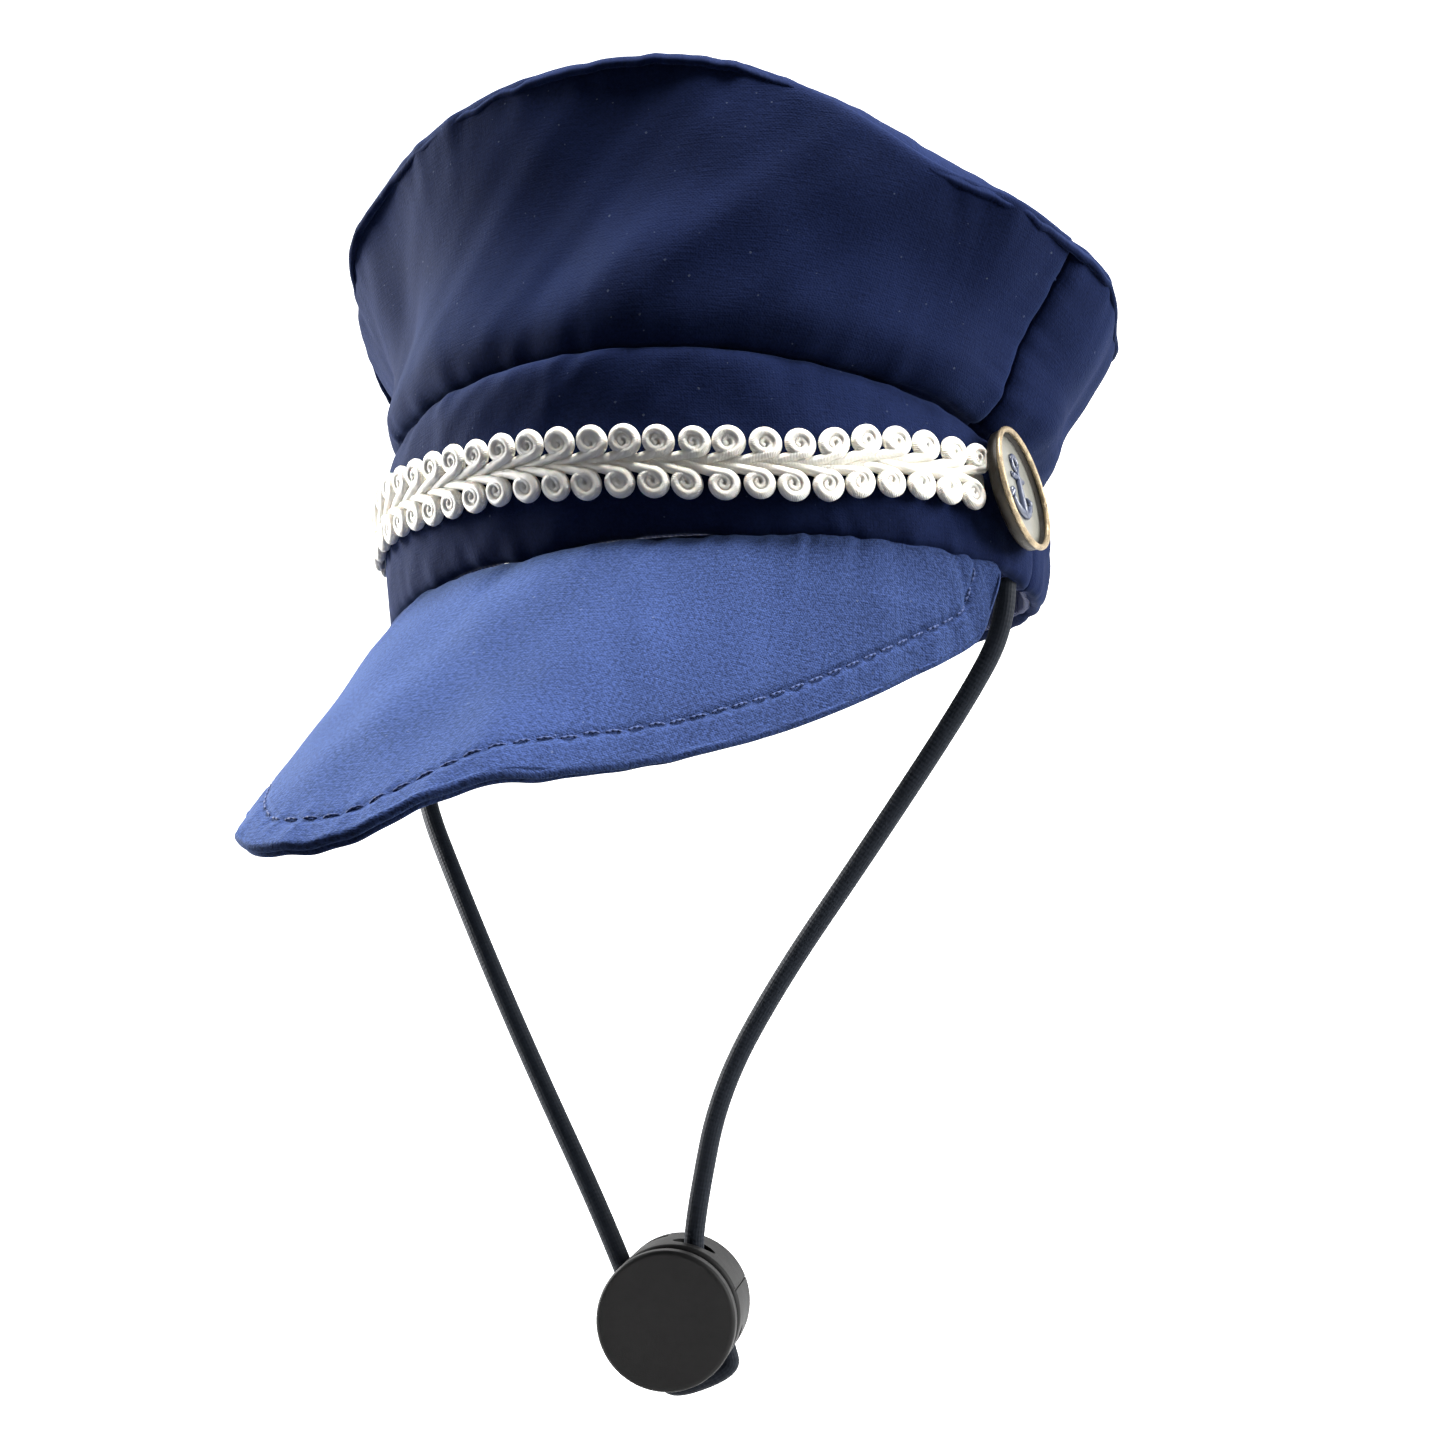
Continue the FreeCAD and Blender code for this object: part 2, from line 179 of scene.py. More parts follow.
def slack(azimuth, level):
    """How far the soft crown sinks inside its drafted shape: little at the rim, most at half height."""
    calm = 1 - 0.6 * hump(azimuth, 35.0, 45.0)
    behind = np.clip((np.abs(azimuth) - 70.0) / 40.0, 0, 1)
    front = (1 - level ** 8) * (3.8 + 3.0 * hump(level, 0.52, 0.28) - 1.6 * hump(level, 0.1, 0.16))
    back = (6.8 * np.minimum(1, (1 - level) / 0.7) - 3.4 * hump(level, 0.25, 0.17)
            - 2.0 * hump(level, 0.0, 0.12))
    return (front * (1 - behind) + back * behind) * calm


def rim_lift(azimuth):
    """How far the rim seam waves above and below its drafted line."""
    return (1.9 * hump(azimuth, 30.0, 16.0) - 1.2 * hump(azimuth, 60.0, 9.0) + 1.7 * hump(azimuth, 92.0, 15.0)
            - 1.2 * hump(azimuth, -14.0, 20.0) + 0.3 * hump(azimuth, -55.0, 12.0)
            + 0.9 * hump(azimuth, 150.0, 14.0) + 0.9 * hump(azimuth, 230.0, 16.0))


def crown_surface(azimuth, level):
    low = band_surface(azimuth, 1.0)
    high = stack(RIM_HALF[0] * sin(azimuth), RIM_CENTRE_Y - RIM_HALF[1] * cos(azimuth), rim_height(azimuth))
    belly = CROWN_FULLNESS * 4 * level * (1 - level)
    outwards = stack(sin(azimuth), -cos(azimuth), 0)
    return low + (high - low) * level[..., None] + outwards * belly[..., None]


def turned_back(azimuth):
    """The same azimuth, between -180 and 180."""
    return (azimuth + 180) % 360 - 180


def soft_crown(azimuth, level):
    """The crown as the cloth really hangs."""
    side = turned_back(azimuth)
    rim_out = (0.3 + 1.3 * hump(side, -42, 9) - 0.9 * hump(side, -61, 11) + 0.8 * hump(side, 74, 7)
               + 0.6 * hump(side, 96, 9) - 0.9 * hump(side, 113, 8))
    outwards = stack(sin(azimuth), -cos(azimuth), 0)
    points = crown_surface(azimuth, level) + outwards * (rim_out - slack(side, level))[..., None]
    points[..., 2] += rim_lift(np.where(azimuth < -110, azimuth + 360, azimuth)) * level ** 3
    return points


def soft_band(azimuth, level):
    """The band as it really sits: drawn in under the crown, its hem higher at the back."""
    side = turned_back(azimuth)
    drawn_in = np.clip(slack(side, np.zeros_like(level)) - 1.0, 0, None) * level ** 6
    points = band_surface(azimuth, level)
    spread = 0.8 * hump(side, -60, 30) * (1 - level) ** 2
    points = points + stack(sin(azimuth), -cos(azimuth), 0) * (spread - drawn_in)[..., None]
    back = np.clip((np.abs(side) - 104) / 40, 0, 1)
    points[..., 2] += 2.0 * back * back * (3 - 2 * back) * (1 - level) ** 2
    return points


def top_surface(azimuth, radius):
    """The domed top: radius 0 at its middle and 1 at the rim."""
    x = radius * sin(azimuth)
    y = -radius * cos(azimuth)
    height = 44.1 - 7.95 * y + 6.55 * (y * y - x * x) + CROWN_DOME * (1 - radius ** 2)
    return stack(RIM_HALF[0] * x, RIM_CENTRE_Y + RIM_HALF[1] * y, height)


def peak_width(turn):
    side = sin(turn) ** 2
    return PEAK_LENGTH * np.abs(cos(turn)) ** 0.316 * (1 - 0.824 * side + 0.107 * side ** 2)


def peak_surface(turn, level):
    azimuth = PEAK_END * turn / 90
    root = stack(OPENING_HALF[0] * sin(azimuth), -OPENING_HALF[1] * cos(azimuth), 0)
    droop = 47.8 + 61.0 * sin(turn) ** 4
    reach = (peak_width(turn) * level)[..., None]
    return root + stack(0, -cos(droop), -sin(droop)) * reach


def lock_axes():
    """The lock's axes: x across the two cord channels, y along the cord, z out of the push button."""
    facing = Vector((sin(LOCK_FACING) * cos(LOCK_DIP), -cos(LOCK_FACING) * cos(LOCK_DIP), -sin(LOCK_DIP)))
    along = (Vector((0, 0, 1)) - facing * facing.z).normalized()
    along = Matrix.Rotation(math.radians(LOCK_ROLL), 3, facing) @ along
    return along.cross(facing), along, facing


def in_lock(across, along, out):
    x, y, z = lock_axes()
    return Vector(LOCK_CENTRE) + x * across + y * along + z * out


# ---------------------------------------------------------------- meshes

ODD_DIRECTION = (0.31, 0.22, 0.93)      # along no strand of the cap, so it can start a strand's sides
EDGE_ROUND = ((0.7, 0.7), (1.0, 0.0), (0.7, -0.7))      # the half circle of a sheet's edge
EDGE_POINTS = len(EDGE_ROUND)
HEM_REACH = 1.3


def new_object(name, vertices, faces, uvs=None):
    """A mesh object from millimetre vertices; uvs gives one pair per vertex, in millimetres."""
    mesh = bpy.data.meshes.new(name)
    mesh.from_pydata((np.asarray(vertices) * MM).tolist(), [], [list(map(int, f)) for f in faces])
    if uvs is not None:
        layer = mesh.uv_layers.new(name="cloth")
        loops = np.zeros(len(mesh.loops), np.int32)
        mesh.loops.foreach_get("vertex_index", loops)
        layer.data.foreach_set("uv", (np.asarray(uvs, float)[loops] * MM).astype(np.float32).ravel())
    mesh.polygons.foreach_set("use_smooth", [True] * len(mesh.polygons))
    mesh.update()
    made = bpy.data.objects.new(name, mesh)
    bpy.context.scene.collection.objects.link(made)
    return made


def quads(stations, around, wrap):
    """Faces of a skin whose vertices are stored ring by ring; wrap joins the last ring to the first."""
    a = np.arange(stations if wrap else stations - 1)
    b = np.arange(around)
    a, b = (v.ravel() for v in np.meshgrid(a, b, indexing="ij"))
    a2 = (a + 1) % stations
    b2 = (b + 1) % around
    return np.stack([a * around + b, a2 * around + b, a2 * around + b2, a * around + b2], 1)


def join(pieces):
    """One set of vertices, faces and uvs out of several."""
    vertices, faces, uvs, start = [], [], [], 0
    for points, quad_list, flat in pieces:
        vertices.append(points)
        faces.extend(list(quad + start) for quad in quad_list)
        uvs.append(flat)
        start += len(points)
    return np.concatenate(vertices), faces, np.concatenate(uvs)


def sweep(loops, flat, wrap=False):
    """A closed skin over loops, an array (stations, points round, 3), with flat uvs of the same layout."""
    stations, around = loops.shape[:2]
    faces = list(quads(stations, around, wrap))
    if not wrap:
        faces.append(np.arange(around))
        faces.append(np.arange(around)[::-1] + (stations - 1) * around)
    return loops.reshape(-1, 3), faces, flat.reshape(-1, 2)


def tube(path, radius, sides):
    """A round strand along a path, with its uv along it and round it."""
    path = np.asarray(path, float)
    tangents = unit(np.gradient(path, axis=0))
    normal = unit(np.cross(tangents[0], ODD_DIRECTION))
    normals = []
    for tangent in tangents:
        normal = unit(normal - tangent * (normal @ tangent))
        normals.append(normal)
    normals = np.array(normals)
    sideways = np.cross(tangents, normals)
    angle = TURN * np.arange(sides) / sides
    radius = np.broadcast_to(radius, len(path))[:, None, None]
    ring = (normals[:, None] * np.cos(angle)[None, :, None]
            + sideways[:, None] * np.sin(angle)[None, :, None])
    loops = path[:, None] + ring * radius
    length = arc_lengths(path, 0)
    round_it = np.minimum(angle, TURN - angle) * float(np.max(radius))
    flat = np.stack(np.broadcast_arrays(length[:, None], round_it[None]), -1)
    return sweep(loops, flat)


def thick_sheet(points, thickness, wrap=False, hem=0.0):
    """Cloth of a real thickness with rounded edges, from the grid of its outer face."""
    normals = grid_normals(points)
    if wrap:
        padded = np.concatenate([points[-3:], points, points[:3]])
        normals = grid_normals(padded)[3:-3]
    along = arc_lengths(points, 1)
    depth = thickness + hem * np.exp(-(along / HEM_REACH) ** 2)
    inner = points - normals * depth[..., None]
    edges = []
    for index, neighbour in ((0, 1), (-1, -2)):
        away = unit(points[:, index] - points[:, neighbour])
        half = depth[:, index, None] / 2
        middle = points[:, index] - normals[:, index] * half
        edges.append([middle + away * half * c + normals[:, index] * half * s
                      for c, s in EDGE_ROUND])
    low, high = edges
    loops = np.concatenate([points, np.stack(high, 1), inner[:, ::-1], np.stack(low[::-1], 1)], 1)
    across = np.broadcast_to(arc_lengths(points, 0)[:, points.shape[1] // 2, None], loops.shape[:2])
    top = along[:, -1:]
    more = np.linspace(0, 1, EDGE_POINTS)[None] * thickness
    round_it = np.concatenate([along, top + more, top + thickness + (top - along[:, ::-1]),
                               np.broadcast_to(-more[:, ::-1] * 0.5, (len(points), 3))], 1)
    return sweep(loops, np.stack([across, round_it], -1), wrap=wrap)


def domed_sheet(name, points, thickness):
    """A round sheet from a grid of its outer face, azimuth by radius, with its middle closed."""
    count, rings = points.shape[:2]
    vertices, faces, _ = thick_sheet(points[:, ::-1], thickness, wrap=True)
    around = len(vertices) // count
    spokes = np.arange(count) * around
    middles = [spokes + rings - 1, spokes[::-1] + rings + EDGE_POINTS]
    return new_object(name, vertices, list(faces) + middles, vertices[:, :2])


def finished(made, body, material, slot, *nodes):
    """Gives a piece its finish and its body, and hides the CAD nodes that it stands for."""
    made.data.materials.append(material)
    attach(made, body)
    if nodes:
        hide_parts(*nodes)
    return made


# ---------------------------------------------------------------- materials

class Value:
    """A number inside a material, for use in ordinary sums."""

    def __init__(self, finish, socket):
        self.finish = finish
        self.socket = socket

    def sum_with(self, operation, *others):
        return self.finish.node("ShaderNodeMath", {"operation": operation}, [self, *others])[0]

    def __add__(self, other):
        return self.sum_with("ADD", other)

    def __sub__(self, other):
        return self.sum_with("SUBTRACT", other)

    def __mul__(self, other):
        return self.sum_with("MULTIPLY", other)

    def __truediv__(self, other):
        return self.sum_with("DIVIDE", other)

    def __rsub__(self, other):
        return self.finish.node("ShaderNodeMath", {"operation": "SUBTRACT"}, [other, self])[0]

    __radd__ = __add__
    __rmul__ = __mul__

    def wave(self):
        return self.sum_with("SINE")

    def at_least(self, low):
        return self.sum_with("MAXIMUM", low)

    def at_most(self, high):
        return self.sum_with("MINIMUM", high)

    def clamped(self):
        return self.at_least(0.0).at_most(1.0)

    def over(self, edge, softness):
        """0 below edge, 1 above edge + softness."""
        return ((self - edge) / softness).clamped()


class Finish:
    """One material, built on a single principled shader."""

    def __init__(self, name, constants):
        self.material = bpy.data.materials.new(name)
        self.material.use_nodes = True
        self.tree = self.material.node_tree
        self.tree.nodes.clear()
        output = self.tree.nodes.new("ShaderNodeOutputMaterial")
        self.shader = self.tree.nodes.new("ShaderNodeBsdfPrincipled")
        self.tree.links.new(self.shader.outputs[0], output.inputs[0])
        for socket, value in constants.items():
            self.shader.inputs[socket].default_value = value

    def node(self, kind, settings=None, values=None):
        """Adds a node: its settings first, then its sockets by index or name. Returns its outputs."""
        node = self.tree.nodes.new(kind)
        for key, value in (settings or {}).items():
            setattr(node, key, value)
        pairs = values.items() if isinstance(values, dict) else enumerate(values or [])
        for key, value in pairs:
            self.connect(value, node.inputs[key])
        return [Value(self, socket) for socket in node.outputs]

    def connect(self, value, socket):
        if isinstance(value, Value):
            self.tree.links.new(value.socket, socket)
        else:
            socket.default_value = value

    def feed(self, **values):
        """Links or sets the shader's sockets: base_color feeds Base Color."""
        for name, value in values.items():
            self.connect(value, self.shader.inputs[name.replace("_", " ").title()])

    def flat_place(self):
        """Millimetres along and round the piece, from its uvs."""
        uv = self.node("ShaderNodeUVMap", {"uv_map": "cloth"})[0]
        x, y, _ = self.node("ShaderNodeSeparateXYZ", None, [uv])
        return x / MM, y / MM

    def vector(self, x, y):
        return self.node("ShaderNodeCombineXYZ", None, [x, y, 0.0])[0]

    def noise(self, vector, scale, detail=2.0, roughness=0.5):
        return self.node("ShaderNodeTexNoise", {"noise_dimensions": "3D"},
                         {"Vector": vector, "Scale": scale, "Detail": detail, "Roughness": roughness})[0]

    def solid_place(self):
        """The place in the object, in millimetres."""
        place = self.node("ShaderNodeTexCoord")[3]
        return self.node("ShaderNodeVectorMath", {"operation": "MULTIPLY"}, [place, (1000.0,) * 3])[0]

    def mix(self, share, first, second):
        outputs = self.node("ShaderNodeMix", {"data_type": "RGBA"}, {0: share, 6: first, 7: second})
        return outputs[2]

    def bump(self, height, depth):
        normal = self.node("ShaderNodeBump", None,
                           {"Strength": 1.0, "Distance": depth * MM, "Height": height})[0]
        self.feed(normal=normal)


def rgba(colour, share=1.0):
    return (*(min(1.0, c * share) for c in colour[:3]), 1.0)


def cotton(name, colour, thread=0.42, relief=0.06, speckle=0.5, sheen=0.03):
    """Plain woven cotton: crossing threads, uneven yarn, faint wear and a little lint."""
    finish = Finish(name, {"Sheen Weight": sheen, "Sheen Roughness": 0.5,
                           "Sheen Tint": (0.35, 0.55, 1.0, 1.0), "Specular IOR Level": 0.03})
    u, v = finish.flat_place()
    flat = finish.vector(u, v)
    warp_yarn = finish.noise(finish.vector(u * 5.0, v * 0.5), 1.0, 1.0)
    weft_yarn = finish.noise(finish.vector(u * 0.5, v * 5.0), 1.0, 1.0)
    weave = (u * (TURN / thread)).wave() * (v * (TURN / thread)).wave()
    fleck = finish.noise(flat, 2.3, 2.0, 0.75)
    cloud = finish.noise(flat, 0.09, 3.0, 0.6)
    yarn = (warp_yarn + weft_yarn - 1.0) * 0.9
    light = 0.5 + weave * 0.04 + (fleck - 0.5) * (2.6 * speckle) + yarn * 0.25 + (cloud - 0.5) * 0.7
    shade = finish.mix(light.clamped(), rgba(colour, 0.62), rgba(colour, 1.45))
    lint = finish.noise(flat, 1.6, 0.0).over(0.84, 0.02)
    finish.feed(base_color=finish.mix(lint * 0.10, shade, (0.30, 0.35, 0.45, 1)),
                roughness=(0.92 - fleck * 0.12))
    finish.bump(weave * 0.12 + fleck * 0.9 + yarn * 0.8, relief)
    return finish.material


def facing_tape(name, colour):
    """Ribbed binding tape: fine ribs across its length."""
    finish = Finish(name, {"Sheen Weight": 0.04, "Specular IOR Level": 0.15})
    u, v = finish.flat_place()
    rib = (u * (TURN / 0.7)).wave()
    fleck = finish.noise(finish.vector(u, v), 2.5, 2.0, 0.6)
    light = 0.5 + rib * 0.22 + (fleck - 0.5) * 0.6
    finish.feed(base_color=finish.mix(light.clamped(), rgba(colour, 0.6), rgba(colour, 1.5)),
                roughness=(0.8 - fleck * 0.15))
    finish.bump(rib * 0.6 + fleck * 0.6, 0.12)
    return finish.material


def gimp(name, colour):
    """Shiny yarn wound tightly round a core."""
    finish = Finish(name, {"Sheen Weight": 0.35, "Sheen Roughness": 0.3, "Specular IOR Level": 0.3,
                           "Coat Roughness": 0.35, "Subsurface Weight": 0.35,
                           "Subsurface Radius": (0.0012, 0.001, 0.0008)})
    u, v = finish.flat_place()
    winding = ((u + v * 0.22) * (TURN / 0.17)).wave()
    uneven = finish.noise(finish.vector(u * 1.3, v * 0.6), 1.0, 2.0)
    soil = finish.noise(finish.solid_place(), 0.12, 3.0)
    light = (0.62 + winding * 0.16 + (uneven - 0.5) * 0.5 + (soil - 0.5) * 0.5).clamped()
    finish.feed(base_color=finish.mix(light, rgba(colour, 0.78), rgba(colour, 1.12)),
                roughness=0.42 + (uneven - 0.5) * 0.25, coat_weight=0.03 + uneven * 0.05)
    finish.bump(winding * 0.6 + uneven * 0.8, 0.05)
    return finish.material


def antique_metal(name, colour):
    """Dark aged brass with rubbed high spots."""
    finish = Finish(name, {})
    place = finish.solid_place()
    patina = finish.noise(place, 0.9, 4.0, 0.65)
    grain = finish.noise(place, 6.0, 2.0, 0.6)
    rubbed = (patina * 0.6 + grain * 0.4).over(0.40, 0.3)
    finish.feed(base_color=finish.mix(rubbed, rgba(colour, 0.5), rgba(colour, 1.3)),
                metallic=0.6 + rubbed * 0.35, roughness=0.6 - rubbed * 0.25)
    finish.bump(patina + grain * 0.5, 0.06)
    return finish.material


def enamel(name, colour, mottle=0.25):
    """Cold enamel with faint clouds under a gloss coat."""
    finish = Finish(name, {"Coat Roughness": 0.12, "Specular IOR Level": 0.5})
    place = finish.solid_place()
    cloud = finish.noise(place, 0.8, 4.0, 0.6)
    speck = finish.noise(place, 5.0, 1.0)
    finish.feed(base_color=finish.mix((0.5 + (cloud - 0.5) * 4 * mottle).clamped(), rgba(colour, 0.7),
                                      rgba(colour, 1.15)),
                roughness=0.35 + speck * 0.2, coat_weight=0.35 + cloud * 0.1)
    finish.bump(cloud * 0.6 + speck * 0.4, 0.03)
    return finish.material


def braided_elastic(name, colour):
    """A round braid of fine dark yarns over rubber."""
    finish = Finish(name, {"Sheen Weight": 0.03, "Sheen Roughness": 0.4, "Sheen Tint": (0.5, 0.6, 0.8, 1),
                           "Specular IOR Level": 0.10})
    u, v = finish.flat_place()
    left = ((u + v * 1.5) * (TURN / 1.15)).wave()
    right = ((u - v * 1.5) * (TURN / 1.15)).wave()
    plait = (left * right + 1) * 0.5
    yarn = finish.noise(finish.vector(u, v), 3.0, 2.0, 0.6)
    light = (0.35 + plait * 0.2 + (yarn - 0.5) * 0.7).clamped()
    finish.feed(base_color=finish.mix(light, rgba(colour, 0.5), rgba(colour, 1.6)),
                roughness=0.75 - plait * 0.15)
    finish.bump(plait * 0.6 + yarn * 0.5, 0.07)
    return finish.material


def moulded_plastic(name, colour):
    """Satin moulded plastic with a fine grain, a little dust and paler scuffs."""
    finish = Finish(name, {"Specular IOR Level": 0.12})
    place = finish.solid_place()
    grain = finish.noise(place, 5.0, 2.0, 0.6)
    handling = finish.noise(place, 0.35, 4.0, 0.6)
    scuff = finish.noise(place, 1.6, 5.0, 0.75).over(0.62, 0.1)
    finish.feed(base_color=finish.mix((0.3 + handling * 0.4 + scuff * 0.3).clamped(), rgba(colour, 0.75),
                                      rgba(colour, 1.7)),
                roughness=(0.5 + handling * 0.16 + scuff * 0.1))
    finish.bump(grain * 0.5 + handling * 0.3, 0.03)
    return finish.material


def drawn_wire(name):
    """Bright spring wire with drawing marks."""
    finish = Finish(name, {"Metallic": 1.0})
    grain = finish.noise(finish.solid_place(), 3.0, 3.0)
    finish.feed(base_color=finish.mix(grain, (0.42, 0.42, 0.44, 1), (0.7, 0.7, 0.72, 1)),
                roughness=0.25 + grain * 0.2)
    return finish.material


def paper_board(name, colour):
    """Open stiffening cloth or board."""
    finish = Finish(name, {})
    fibre = finish.noise(finish.solid_place(), 1.5, 4.0, 0.7)
    finish.feed(base_color=finish.mix(fibre, rgba(colour, 0.7), rgba(colour, 1.1)),
                roughness=0.8 + fibre * 0.1)
    finish.bump(fibre, 0.05)
    return finish.material


MATERIALS = {}


def material(name):
    """The finish of that name, made once from the colours in the sidebar."""
    if name not in MATERIALS:
        c = bpy.context.scene.cap_colours
        sizes = bpy.context.scene.cap_sizes
        makers = {
            # Crown and band cloth in the crown colour, which holds painted shade.
            "navy_cotton": lambda: cotton(name, c.crown, sizes.thread_pitch / MM),
            "peak_cotton": lambda: cotton(name, c.peak, sizes.thread_pitch / MM, 0.10, 1.6, 0.12),
            "lining": lambda: cotton(name, c.lining, 0.3, 0.05, 0.3, 0.1),
            # Facing tape: the crown colour, which holds painted shade, made 1.7 times lighter.
            "facing": lambda: facing_tape(name, rgba(c.crown, 1.7)),
            "sewing_thread": lambda: facing_tape(name, c.thread),
            "ivory_gimp": lambda: gimp(name, c.braid),
            "antique_brass": lambda: antique_metal(name, c.brass),
            # A copy of the rim's brass at 4 per cent of its colour, for the buttons' side walls and eyes:
            # painted shade.
            "brass_painted_shade": lambda: antique_metal(name, rgba(c.brass, 0.04)),
            "ivory_enamel": lambda: enamel(name, c.button_face),
            "blue_enamel": lambda: enamel(name, c.emblem, 0.1),
            "elastic": lambda: braided_elastic(name, c.cord),
            "black_plastic": lambda: moulded_plastic(name, c.plastic),
            "wire": lambda: drawn_wire(name),
            "buckram": lambda: paper_board(name, (0.7, 0.68, 0.62)),
            "board": lambda: paper_board(name, (0.75, 0.75, 0.72)),
        }
        MATERIALS[name] = makers[name]()
    return MATERIALS[name]


def dress(node, name):
    """Gives a CAD node that stays its finish."""
    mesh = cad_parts[node].data
    mesh.materials.clear()
    mesh.materials.append(material(name))


# ---------------------------------------------------------------- settings in the sidebar

def size(name, description, default, **more):
    return bpy.props.FloatProperty(name=name, description=description, default=default * MM, precision=5,
                                   unit="LENGTH", **more)


def colour(name, description, default):
    return bpy.props.FloatVectorProperty(name=name, description=description, default=default, size=3,
                                         subtype="COLOR", min=0.0, max=1.0)


class CapSizes(bpy.types.PropertyGroup):
    """Sizes of the cap's cloth, stitching, braid and cord."""

    thread_pitch: size("Thread pitch", "Distance between two warp threads of the cotton", 0.42)
    cloth_thickness: size("Cloth thickness", "Thickness of a crown panel with its fusing", 1.0)
    seam_depth: size("Seam depth", "How far the cloth is drawn in at a seam", 0.9)
    pucker_depth: size("Pucker depth", "Height of the gathers beside a seam", 0.24)
    stitch_length: size("Stitch length", "Length of one stitch on the peak", 2.35)
    stitch_gap: size("Stitch gap", "Gap between two stitches", 0.35)
    stitch_inset: size("Stitch inset", "Distance from the peak's edge to its stitching", 4.2)
    thread_radius: size("Thread radius", "Radius of the sewing thread", 0.13)
    peak_edge: size("Peak edge", "Radius of the rolled edge of the peak's upper cover", 0.62)
    braid_pitch: size("Braid pitch", "Distance between two loops of the braid", 3.9)
    braid_height: size("Braid height", "Height of the braid across both rows of loops", 8.4)
    strand: size("Braid strand", "Diameter of the braid's wound strand", 1.22)
    button_radius: size("Button radius", "Outer radius of a button", 7.75)
    cord_diameter: size("Cord diameter", "Diameter of the elastic chin cord", 2.5)


class CapColours(bpy.types.PropertyGroup):
    """Colours of the cap's finishes."""

    # The crown colour is the peak's cotton made about three times darker: painted shade for the shade on the
    # crown and band.
    crown: colour("Crown", "Cotton of the crown and band", (0.0043, 0.0082, 0.032))
    peak: colour("Peak", "Cotton of the peak", (0.0160, 0.0270, 0.080))
    lining: colour("Lining", "Lining and facing tape", (0.022, 0.034, 0.09))
    thread: colour("Thread", "Sewing thread", (0.024, 0.040, 0.110))
    braid: colour("Braid", "Wound yarn of the braid", (0.97, 0.88, 0.79))
    brass: colour("Button rim", "Aged brass of the buttons", (0.27, 0.21, 0.13))
    button_face: colour("Button face", "Enamel behind the emblem", (0.13, 0.13, 0.11))
    emblem: colour("Emblem", "Enamel of the anchor", (0.010, 0.020, 0.055))
    cord: colour("Cord", "Braided cover of the chin cord", (0.0032, 0.0050, 0.0085))
    plastic: colour("Plastic", "Plastic of the cord lock", (0.0020, 0.0020, 0.0020))


class CapOperator:
    """What every operator of the cap shares."""

    bl_options = {"REGISTER"}

    def execute(self, context):
        self.make(context.scene.cap_sizes)
        return {"FINISHED"}


# ---------------------------------------------------------------- stage

CAMERA_PLACE = (0.19814, -0.28166, -0.09877)
CAMERA_AZIMUTH = 35.0
CAMERA_RISE = 13.99
CAMERA_LENS = 69.76
FLOOR_HALF = 4000               # the floor and the backdrop are in millimetres
FLOOR_Z = -130
WALL_HALF = 2500
WALL_HEIGHTS = (-1200, 3500)
WALL_DISTANCE = 1.2             # metres behind the cap
WORLD_LIGHT = 0.16
# name, place and target in metres, width in metres, power in watts
LIGHTS = (("top_light", (0.16, -0.14, 0.72), (0.0, -0.04, 0.0), 0.3, 29.0),
          ("left_light", (-0.62, -0.10, 0.18), (0, 0, 0.02), 0.3, 16.0),
          ("right_light", (0.60, 0.30, 0.20), (0, 0, 0.0), 0.4, 14.0))


class CAP_OT_stage(CapOperator, bpy.types.Operator):
    """Sets up the floor, backdrop, lights and camera"""

    bl_idname = "cap.stage"
    bl_label = "Stage"

    def make(self, sizes):
        scene = bpy.context.scene
        scene.view_settings.view_transform = "Standard"
        camera = bpy.data.objects.new("camera", bpy.data.cameras.new("camera"))
        camera.data.lens = CAMERA_LENS
        camera.data.sensor_width = 36.0
        camera.data.clip_start = 0.01
        camera.location = CAMERA_PLACE
        camera.rotation_euler = (math.radians(90 + CAMERA_RISE), 0, math.radians(CAMERA_AZIMUTH))
        scene.collection.objects.link(camera)
        scene.camera = camera

        corners = np.array([(-1, -1, 0), (1, -1, 0), (1, 1, 0), (-1, 1, 0)])
        floor = new_object("floor", corners * FLOOR_HALF + np.array([0, 0, FLOOR_Z]), [(0, 1, 2, 3)])
        floor.data.materials.append(self.plain("floor_paper", (0.82, 0.82, 0.82), 0.0))
        low, high = WALL_HEIGHTS
        corners = [(-WALL_HALF, 0, low), (WALL_HALF, 0, low), (WALL_HALF, 0, high), (-WALL_HALF, 0, high)]
        wall = new_object("backdrop", corners, [(0, 1, 2, 3)])
        wall.rotation_euler = (0, 0, math.radians(CAMERA_AZIMUTH))
        wall.location = (-WALL_DISTANCE * sin(CAMERA_AZIMUTH), WALL_DISTANCE * cos(CAMERA_AZIMUTH), 0)
        wall.data.materials.append(self.plain("backdrop_white", (1, 1, 1), 1.0))

        floor.visible_diffuse = False
        for settings in LIGHTS:
            self.light(*settings)
        world = bpy.data.worlds.new("studio")
        world.use_nodes = True
        background = world.node_tree.nodes["Background"]
        background.inputs["Color"].default_value = (1, 1, 1, 1)
        background.inputs["Strength"].default_value = WORLD_LIGHT
        scene.world = world

    def plain(self, name, tint, glow):
        made = Finish(name, {"Roughness": 0.9, "Emission Strength": glow})
        made.feed(base_color=(*tint, 1), emission_color=(*tint, 1))
        return made.material

    def light(self, name, place, target, width, power):
        lamp = bpy.data.lights.new(name, "AREA")
        lamp.size = width
        lamp.energy = power
        made = bpy.data.objects.new(name, lamp)
        made.location = place
        heading = Vector(target) - Vector(place)
        made.rotation_euler = heading.to_track_quat("-Z", "Y").to_euler()
        bpy.context.scene.collection.objects.link(made)


# ---------------------------------------------------------------- crown

TURNED_IN = 0.12                # share of the side panels' height that goes down inside the band
CROWN_ROWS = 94
SEAM_ROW = 10                   # the row of a side panel that meets the top of the band
HALFWAY_ROW = 40


